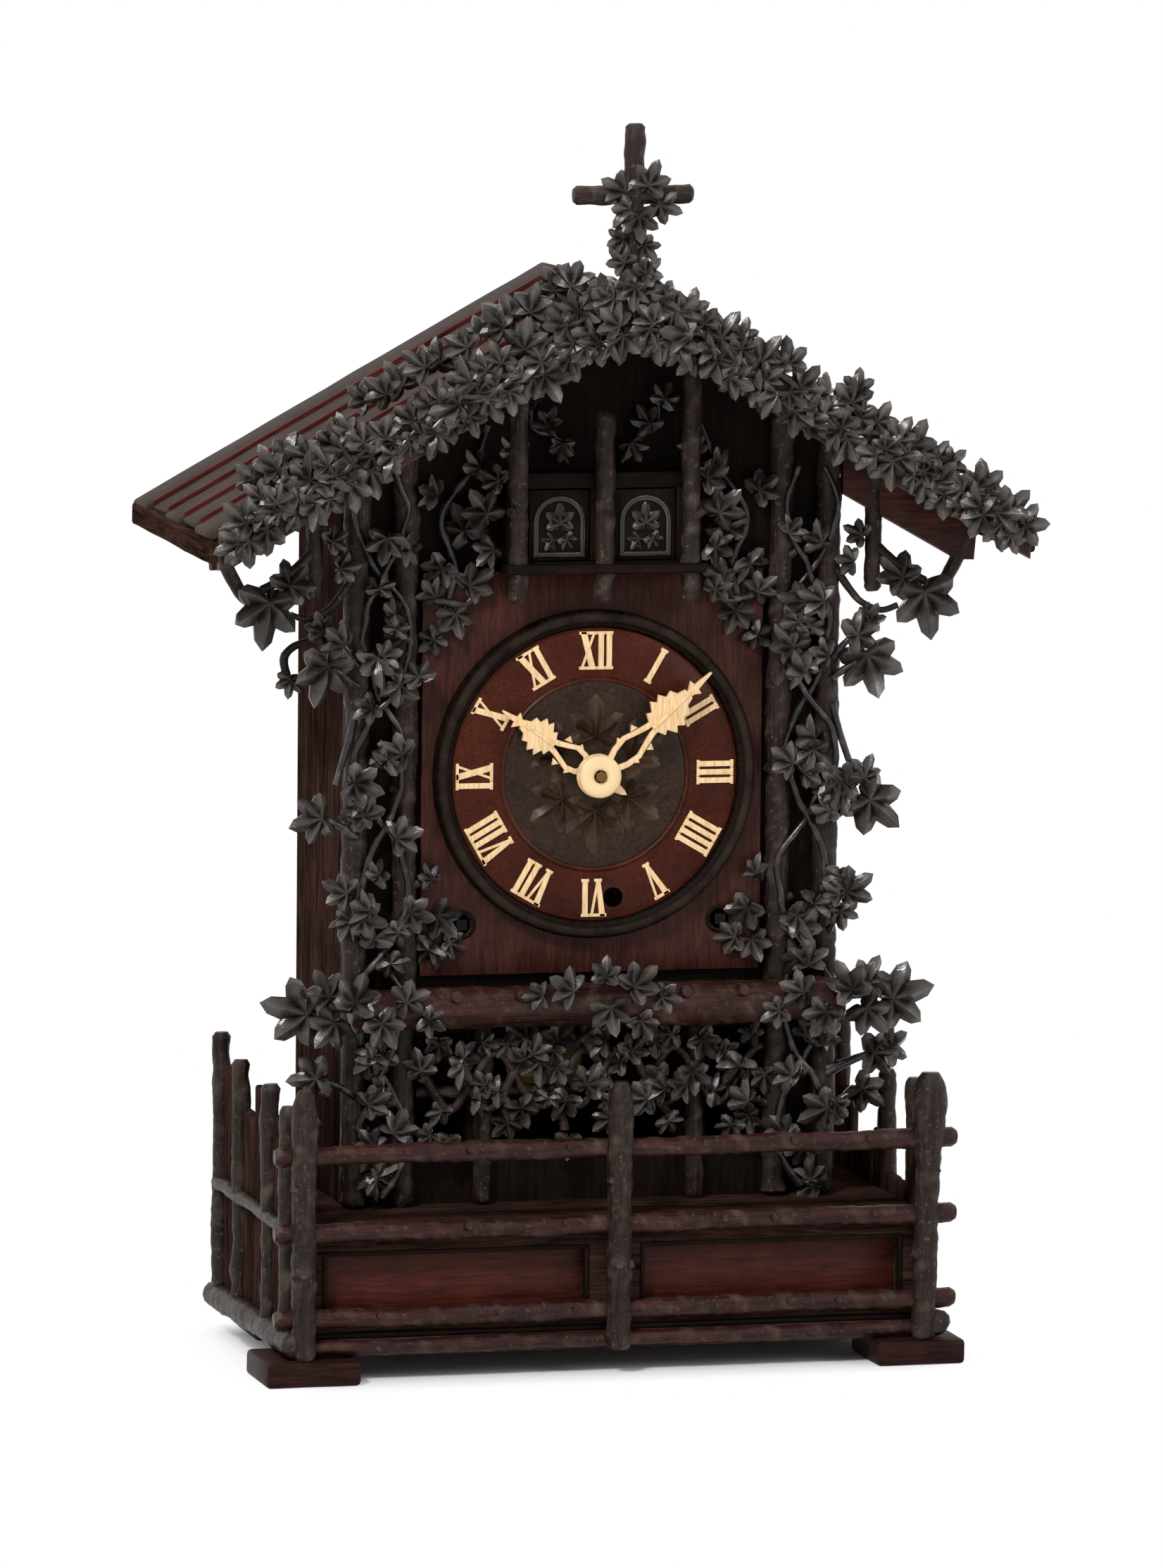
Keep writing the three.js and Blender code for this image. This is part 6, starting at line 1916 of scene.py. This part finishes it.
                # Crossing strokes lie a hair apart in depth.
                shape.prism(placed, self.face_y - 0.75 - 0.02 * (k % 3), self.face_y + 0.6, bevel=0.2)
        self.shop.solid("bone_numerals", shape, Stuff.BONE, slot="bone")

    def hand(
        self, name: str, body: Body, length: float, degrees: float, bore: float, boss: float, back: float,
    ) -> None:
        """Carve one bone hand.

        Args:
            name: Which hand.
            body: The body it turns with.
            length: Its length.
            degrees: Where it points, clockwise from the top.
            bore: Radius of the hole in its boss.
            boss: Radius of its boss.
            back: Depth of its back.
        """
        front = back - 1.5
        place = partial(on_dial, degrees)
        shape = Shape()
        shape.turned(
            [
                (bore, back), (bore, front), (bore + 1, front - 0.5), ((bore + boss) / 2, front - 0.8),
                (boss - 0.8, front - 0.4), (boss, front + 0.3), (boss, back),
            ],
            (0, DIAL_Z), 48, crests=(2, 3, 4),
        )
        scale = length / 64
        for side in (1, -1):
            strand = [(7.5, 2.4), (12, 4.2), (18, 5.0), (23, 3.4), (28, 2.0), (33, 1.2)]
            path = place([(max(a * scale, 7.5), c * side * (0.85 + 0.15 * scale)) for a, c in strand])
            shape.ribbon(path, [2.6, 2.4, 2.2, 2.2, 2.4, 2.6], front, back)
            for a in (14, 22):
                bud = [(a * scale + up, side * out) for up, out in ((0, 5.2), (2.2, 7.2), (3.4, 4.4))]
                shape.prism(place(bud), front + 0.1, back, bevel=0.3)
        leaf = [
            (30, 2), (32, 6.2), (34, 5.0), (36.5, 9.0), (38.5, 6.6), (41, 8.8), (43, 5.6), (46, 6.4),
            (47.5, 3.4), (51, 2.4),
        ]
        whole = leaf + [(a, -c) for a, c in reversed(leaf)]
        sized = [(a * scale, c * (0.5 + 0.5 * scale)) for a, c in whole]
        shape.prism(place(sized), front - 0.3, back, bevel=0.6)
        rib = place([(30 * scale, 0), (40 * scale, 0.2), (50 * scale, 0)])
        shape.ribbon(rib, [1.6, 1.4, 1.0], front - 0.9, front)
        tip = place([(48 * scale, 0), (53 * scale, 0.4), (58 * scale, 0), (length, 0)])
        shape.ribbon(tip, [2.6, 3.0, 2.2, 0.8], front, back)
        for side in (1, -1):
            barb = place([(51 * scale, side * 0.8), (55 * scale, side * 3.6), (55.5 * scale, side * 0.8)])
            shape.prism(barb, front + 0.1, back, bevel=0.2)
        tail = place([(-6, 3), (-13, 1.2), (-15, 0), (-13, -1.2), (-6, -3)])
        if name == "hour":
            shape.prism(tail, front + 0.1, back, bevel=0.3)
        self.shop.solid(f"{name}_hand_bone", shape, Stuff.BONE, f"{name}_hand", body, "bone")


@dataclass
class BirdLoft:
    """The porch with its two doors, and the birds behind them."""

    shop: Workshop
    front: float = -30
    door_low: float = 336.5
    door_high: float = 366

    def build(self) -> None:
        """Make the porch, the doors and the birds."""
        self.porch()
        for name, side in SIDES.items():
            self.door(name, side)
        self.bird("cuckoo", -18.5, 1.0, Body.CUCKOO, Stuff.CUCKOO)
        self.bird("quail", 18.5, 0.85, Body.QUAIL, Stuff.QUAIL)
        self.shop.refined("bird_shelf", Axis.X, 0.5, Stuff.PINE)

    def porch(self) -> None:
        """Make the porch's boards, twigs and leaves."""
        shape = Shape()
        low, high = self.door_low - 0.5, self.door_high + 0.5
        shape.board((-41, self.front, 331.5), (41, -13, low), Axis.X, 0.5)
        shape.board((-41, self.front, high), (41, -13, 373), Axis.X, 0.5)
        for x in (-41, -5, 32):
            shape.board((x, self.front, low), (x + (10 if x == -5 else 9), -13, high), Axis.Z, 0.5)
        shape.board((-43, -40, 331.5), (43, self.front + 1, 335.5), Axis.X, 1.0, 0.3, 8)
        self.shop.solid("porch_boards", shape, Stuff.BOARD, node="door_porch")
        rng = self.shop.rng
        twigs = []
        for x in (-37, 0, 37):
            top = roof_top(41) - 8.6 if x else 399
            twigs.append(Twig.straight((x, -34.2, 319.5), (x, -34.2, top), 4.1, rng, 0.3))
            twigs.append(Twig([(x, -35, 354), (x * 1.13, -38.4, 358)], [2.2, 1.8]))
        self.shop.twigs("porch_twigs", twigs)
        leaves = []
        for side in SIDES.values():
            for x, z, reach, turn in (
                (50, 356, 12, 40), (48, 342, 10, 130), (39, 382, 9, -20), (45, 370, 9, 60),
            ):
                leaves.append(self.shop.scatter((side * x, -31, z), reach, side * turn, 24))
        leaves.append(self.shop.scatter((47, -36, 324), 8, 60, 10))
        self.shop.ivy("porch_ivy", leaves)

    def door(self, name: str, side: int) -> None:
        """Carve one door with its arched bead and leaf.

        Args:
            name: Name of the side.
            side: 1 for the right, -1 for the left.
        """
        body = Body.DOOR_RIGHT if side > 0 else Body.DOOR_LEFT
        shape = Shape()
        low, high = sorted((side * 5.5, side * 31.5))
        shape.board((low, self.front, self.door_low), (high, self.front + 3, self.door_high), Axis.Z, 0.5)
        self.shop.solid(f"door_{name}_panel", shape, Stuff.BOARD, node=f"door_{name}", body=body)
        beads = Shape()
        x = side * 18.5
        foot, spring = self.door_low + 2.5, self.door_low + 16.5
        arch = [(x - 10, foot), (x - 10, spring)]
        angles = [pi * i / 12 for i in range(1, 12)]
        arch += [(x - 10 * cos(a), spring + 9.5 * sin(a)) for a in angles]
        arch += [(x + 10, spring), (x + 10, foot)]
        beads.ribbon(arch, [1.9] * len(arch), self.front - 0.9, self.front + 0.2)
        beads.ribbon([(x - 11, foot), (x + 11, foot)], [1.9, 1.9], self.front - 0.8, self.front + 0.2)
        self.shop.solid(f"door_{name}_beads", beads, Stuff.CARVING, body=body)
        leaves = [
            Leaf((x, self.front - 0.3, 352), 8.5, 0, 0, 0, 0),
            Leaf((x - 3, self.front, 345.5), 5.5, 215, 0, 0, 2),
            Leaf((x + 3, self.front, 345.5), 5.5, 145, 0, 0, 1),
        ]
        self.shop.ivy(f"door_{name}_leaf", leaves, body=body)

    def bird(self, name: str, x: float, size: float, body: Body, stuff: Stuff) -> None:
        """Carve one bird with its arm and sled.

        Args:
            name: The bird's node.
            x: Where its door is.
            size: Its size against the cuckoo's.
            body: The body it slides with.
            stuff: Its paint.
        """
        beak, mid = -19.0, 349.5
        head = beak + 9 * size
        heart = head + 11 * size
        crown = mid + 8 * size
        shape = Shape()
        spine = [
            (head - 6.4 * size, crown - 0.4, 0.6), (head - 5 * size, crown, 3.6),
            (head - 2 * size, crown + 0.4, 5.8), (head + 2 * size, crown - 0.6, 6.2),
            (head + 5 * size, crown - 3.5, 6.4), (heart - 2 * size, mid + 1.5, 7.4),
            (heart + 4 * size, mid, 7.4), (heart + 9 * size, mid, 6), (heart + 13 * size, mid + 0.6, 3.6),
            (heart + 16 * size, mid + 1, 1.6),
        ]
        places = [(x, y, z) for y, z, _ in spine]
        shape.spindle(places, [(r * size, r * size * 1.04) for _, _, r in spine], 18, True)
        tail = [(heart + 9, 1), (heart + 16, 1.6), (heart + 24 * size, 2.2), (heart + 26 * size, 2.6)]
        shape.spindle(
            [(x, y, mid + rise) for y, rise in tail],
            [(2.6 * size, 1.2), (3.2 * size, 1.0), (3.6 * size, 0.8), (2.2 * size, 0.5)], 10,
        )
        for side in (1, -1):
            wing = [(heart - 6 * size, 2.0), (heart, 3.6), (heart + 7 * size, 3.0), (heart + 14 * size, 0.6)]
            shape.spindle(
                [(x + side * 6.4 * size, y, mid + 1.5) for y, _ in wing],
                [(1.3 * size, high * size) for _, high in wing], 10,
            )
        self.shop.solid(f"{name}_plumage", shape, stuff, node=name, slot="painted_bird", body=body)
        fittings = Shape()
        fittings.spindle(
            [(x, beak, crown - 0.6), (x, beak + 1.5, crown - 0.4), (x, head - 5 * size, crown)],
            [(0.3, 0.3), (1.0 * size, 0.9 * size), (1.9 * size, 1.7 * size)], 10,
        )
        for side in (1, -1):
            fittings.spindle(
                [(x + side * 4.6 * size, head - 3 * size + d, crown + 1.6) for d in (-0.9, -0.4, 0.4, 0.9)],
                [(0.4, 0.4), (1.1, 1.1), (1.1, 1.1), (0.4, 0.4)], 10,
            )
        self.shop.solid(f"{name}_beak", fittings, Stuff.BONE, slot="bone", body=body)
        works = Shape()
        works.board((x - 6, 32, 334), (x + 6, 52, 338), Axis.Y, 0.4)
        works.spindle([(x, heart, mid), (x, 42, 336)], [(1.6, 1.6), (1.6, 1.6)], 10)
        self.shop.solid(f"{name}_sled", works, Stuff.STEEL, slot="steel", body=body)


@dataclass
class Works:
    """The movement, the bellows and the pendulum inside the case."""

    shop: Workshop
    brass: tuple[str, ...] = (
        "movement_front_plate", "movement_back_plate", "going_barrel", "strike_barrel", "intermediate_wheel",
        "strike_pin_wheel", "centre_arbor", "third_wheel", "escape_wheel", "pendulum", "minute_wheel",
        "hour_wheel",
    )
    steel: tuple[str, ...] = ("going_winding_arbor", "strike_winding_arbor", "anchor")
    fold_sharp: float = 75
    folds: tuple[Flat, ...] = (
        (333.8, 0.3), (334.8, 1.2), (335.9, 0.5), (337, 1.4), (338, 0.5), (339, 1.2), (340.2, 0.3),
    )

    def build(self) -> None:
        """Dress the movement and cover the bellows."""
        for node in self.brass:
            self.shop.keep(node, Stuff.BRASS)
        for node in self.steel:
            self.shop.keep(node, Stuff.STEEL)
        for name, side in SIDES.items():
            body = Body.BELLOWS_RIGHT if side > 0 else Body.BELLOWS_LEFT
            self.shop.refined(f"bellows_pipe_{name}", Axis.Z, 0.5, Stuff.PINE)
            self.shop.refined(f"bellows_top_{name}", Axis.Y, 0.5, Stuff.PINE, body)
            self.leather(name, side, body)

    def leather(self, name: str, side: int, body: Body) -> None:
        """Fold the leather that closes the gap between one pipe and its top board.

        Args:
            name: Name of the side.
            side: 1 for the right, -1 for the left.
            body: The top board's body.
        """
        part = bmesh.new()
        rings = []
        for z, bulge in self.folds:
            inner, wall = 76.6 - bulge, 97.5
            front, back = 14.0 - bulge, 41.4 + bulge * 0.4
            corners = [(inner, front), (wall, front), (wall, back), (inner, back)]
            rings.append([part.verts.new((side * x, y, z)) for x, y in corners])
        skin(part, rings)
        bmesh.ops.subdivide_edges(part, edges=part.edges, cuts=2, use_grid_fill=True)
        shape = Shape()
        shape.take(part, {})
        cover = self.shop.mould(f"bellows_leather_{name}", shape, Stuff.LEATHER, self.fold_sharp)
        low, high = ((side * 87 * MM, 28 * MM, z * MM) for z in (335, 339))
        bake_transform(cover)
        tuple(low)
        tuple(high)
        LOG.info("%s between case and %s", cover.name, body.value)


@dataclass
class Studio:
    """The pale floor, the soft lights and the camera."""

    camera_at: Point = (-1.0124, -3.8073, 0.693)
    aim: Point = (-0.0033, -0.013, 0.2409)
    roll: float = 0.56
    focal_px: float = 13405
    sensor_mm: float = 36
    sky: float = 0.4
    lamp_aim: Point = (0, 0, 0.26)
    fibre_per_m: float = 900
    shadow_half: Point = (0.12, 0.052, 0)
    fade_m: float = 0.042

    def build(self) -> None:
        """Set up the studio."""
        self.floor()
        self.world()
        self.lamp("key", (-1.7, -2.2, 2.6), 0.6, 84)
        self.lamp("fill", (2.2, -1.9, 1.3), 0.8, 16)
        self.lamp("top", (-0.5, 0.6, 2.6), 1.4, 20)
        self.camera()
        bpy.context.scene.view_settings.view_transform = "Standard"

    @staticmethod
    def seen(tree: NodeTree, *rays: str) -> NodeSocket:
        """Tell rays of some kinds from the others.

        Args:
            tree: The tree that gets the nodes.
            rays: The kinds of ray.

        Returns:
            An output that is one for these rays.
        """
        path = add(tree, "ShaderNodeLightPath").node
        first, *others = (path.outputs[f"Is {ray} Ray"] for ray in rays)
        for other in others:
            first = add(tree, "ShaderNodeMath", {0: first, 1: other}, operation="MAXIMUM")
        return first

    def floor(self) -> None:
        """Lay a white floor that keeps the clock's shadow and fades to white."""
        mesh = bmesh.new()
        bmesh.ops.create_grid(mesh, x_segments=1, y_segments=1, size=30)
        data = bpy.data.meshes.new("floor")
        mesh.to_mesh(data)
        mesh.free()
        material, tree, shader = new_material("white_paper_floor")
        place = add(tree, "ShaderNodeTexCoord", out="Object")
        size = add(tree, "ShaderNodeVectorMath", {0: place}, operation="ABSOLUTE")
        beyond = add(tree, "ShaderNodeVectorMath", {0: size, 1: self.shadow_half}, operation="SUBTRACT")
        beyond = add(tree, "ShaderNodeVectorMath", {0: beyond, 1: (0, 0, 0)}, operation="MAXIMUM")
        far = add(tree, "ShaderNodeVectorMath", {0: beyond}, operation="LENGTH")
        fade = add(
            tree, "ShaderNodeMapRange", {0: far, 1: 0.0, 2: self.fade_m, 3: 0.0, 4: 1.0},
            interpolation_type="SMOOTHSTEP",
        )
        seen = self.seen(tree, "Camera", "Glossy")
        share = add(tree, "ShaderNodeMath", {0: fade, 1: seen}, operation="MULTIPLY")
        fibre = add(tree, "ShaderNodeTexNoise", {"Vector": place, "Scale": self.fibre_per_m, "Detail": 2.0})
        tone = add(
            tree, "ShaderNodeMix", {0: fibre, 6: linear("#f6f5f4"), 7: linear("#fbfbfa")}, data_type="RGBA",
        )
        wire(tree, shader, {"Base Color": tone, "Roughness": 0.9})
        glow = add(tree, "ShaderNodeEmission", {"Strength": 1.0})
        mixed = add(tree, "ShaderNodeMixShader", {0: share, 1: shader.outputs[0], 2: glow})
        wire(tree, tree.nodes["Material Output"], {0: mixed})
        data.materials.append(material)
        show("floor", data)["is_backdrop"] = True

    def world(self) -> None:
        """Set an even sky that shows white behind the clock."""
        world = bpy.data.worlds.new("studio")
        world.use_nodes = True
        tree = world.node_tree
        seen = self.seen(tree, "Camera", "Glossy", "Transmission")
        strength = add(tree, "ShaderNodeMapRange", {0: seen, 3: self.sky, 4: 1.0})
        wire(tree, tree.nodes["Background"], {"Strength": strength, "Color": (1, 1, 1, 1)})
        bpy.context.scene.world = world

    def lamp(self, name: str, at: Point, size: float, watts: float) -> None:
        """Hang one soft box that faces the clock.

        Args:
            name: Its name.
            at: Its place, in metres.
            size: Its side.
            watts: Its power.
        """
        light = bpy.data.lights.new(name, "AREA")
        light.size = size
        light.energy = watts
        made = show(name, light)
        made.location = at
        made.rotation_euler = (Vector(self.lamp_aim) - Vector(at)).to_track_quat("-Z", "Y").to_euler()

    def camera(self) -> None:
        """Stand the camera where the photograph was taken."""
        lens = bpy.data.cameras.new("camera")
        lens.sensor_width = self.sensor_mm
        lens.lens = self.focal_px * lens.sensor_width / PHOTO_HEIGHT
        lens.clip_end = 100
        made = show("camera", lens)
        way = Vector(self.aim) - Vector(self.camera_at)
        turn = way.to_track_quat("-Z", "Y").to_matrix().to_4x4()
        roll = Matrix.Rotation(radians(self.roll), 4, "Z")
        made.matrix_world = Matrix.Translation(self.camera_at) @ turn @ roll
        bpy.context.scene.camera = made


def main() -> None:
    """Dress the clock and set up the studio."""
    logging.basicConfig(level=logging.INFO, format="%(message)s")
    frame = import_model()
    shop = Workshop(frame, SEED)
    Studio().build()
    for part in (Roof, CaseBody, FrontCarving, BaseBox, Fence, Dial, BirdLoft, Works):
        part(shop).build()
    shop.clear()
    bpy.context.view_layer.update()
    LOG.info("%d pieces", len(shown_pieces()))


if __name__ == "__main__":
    main()
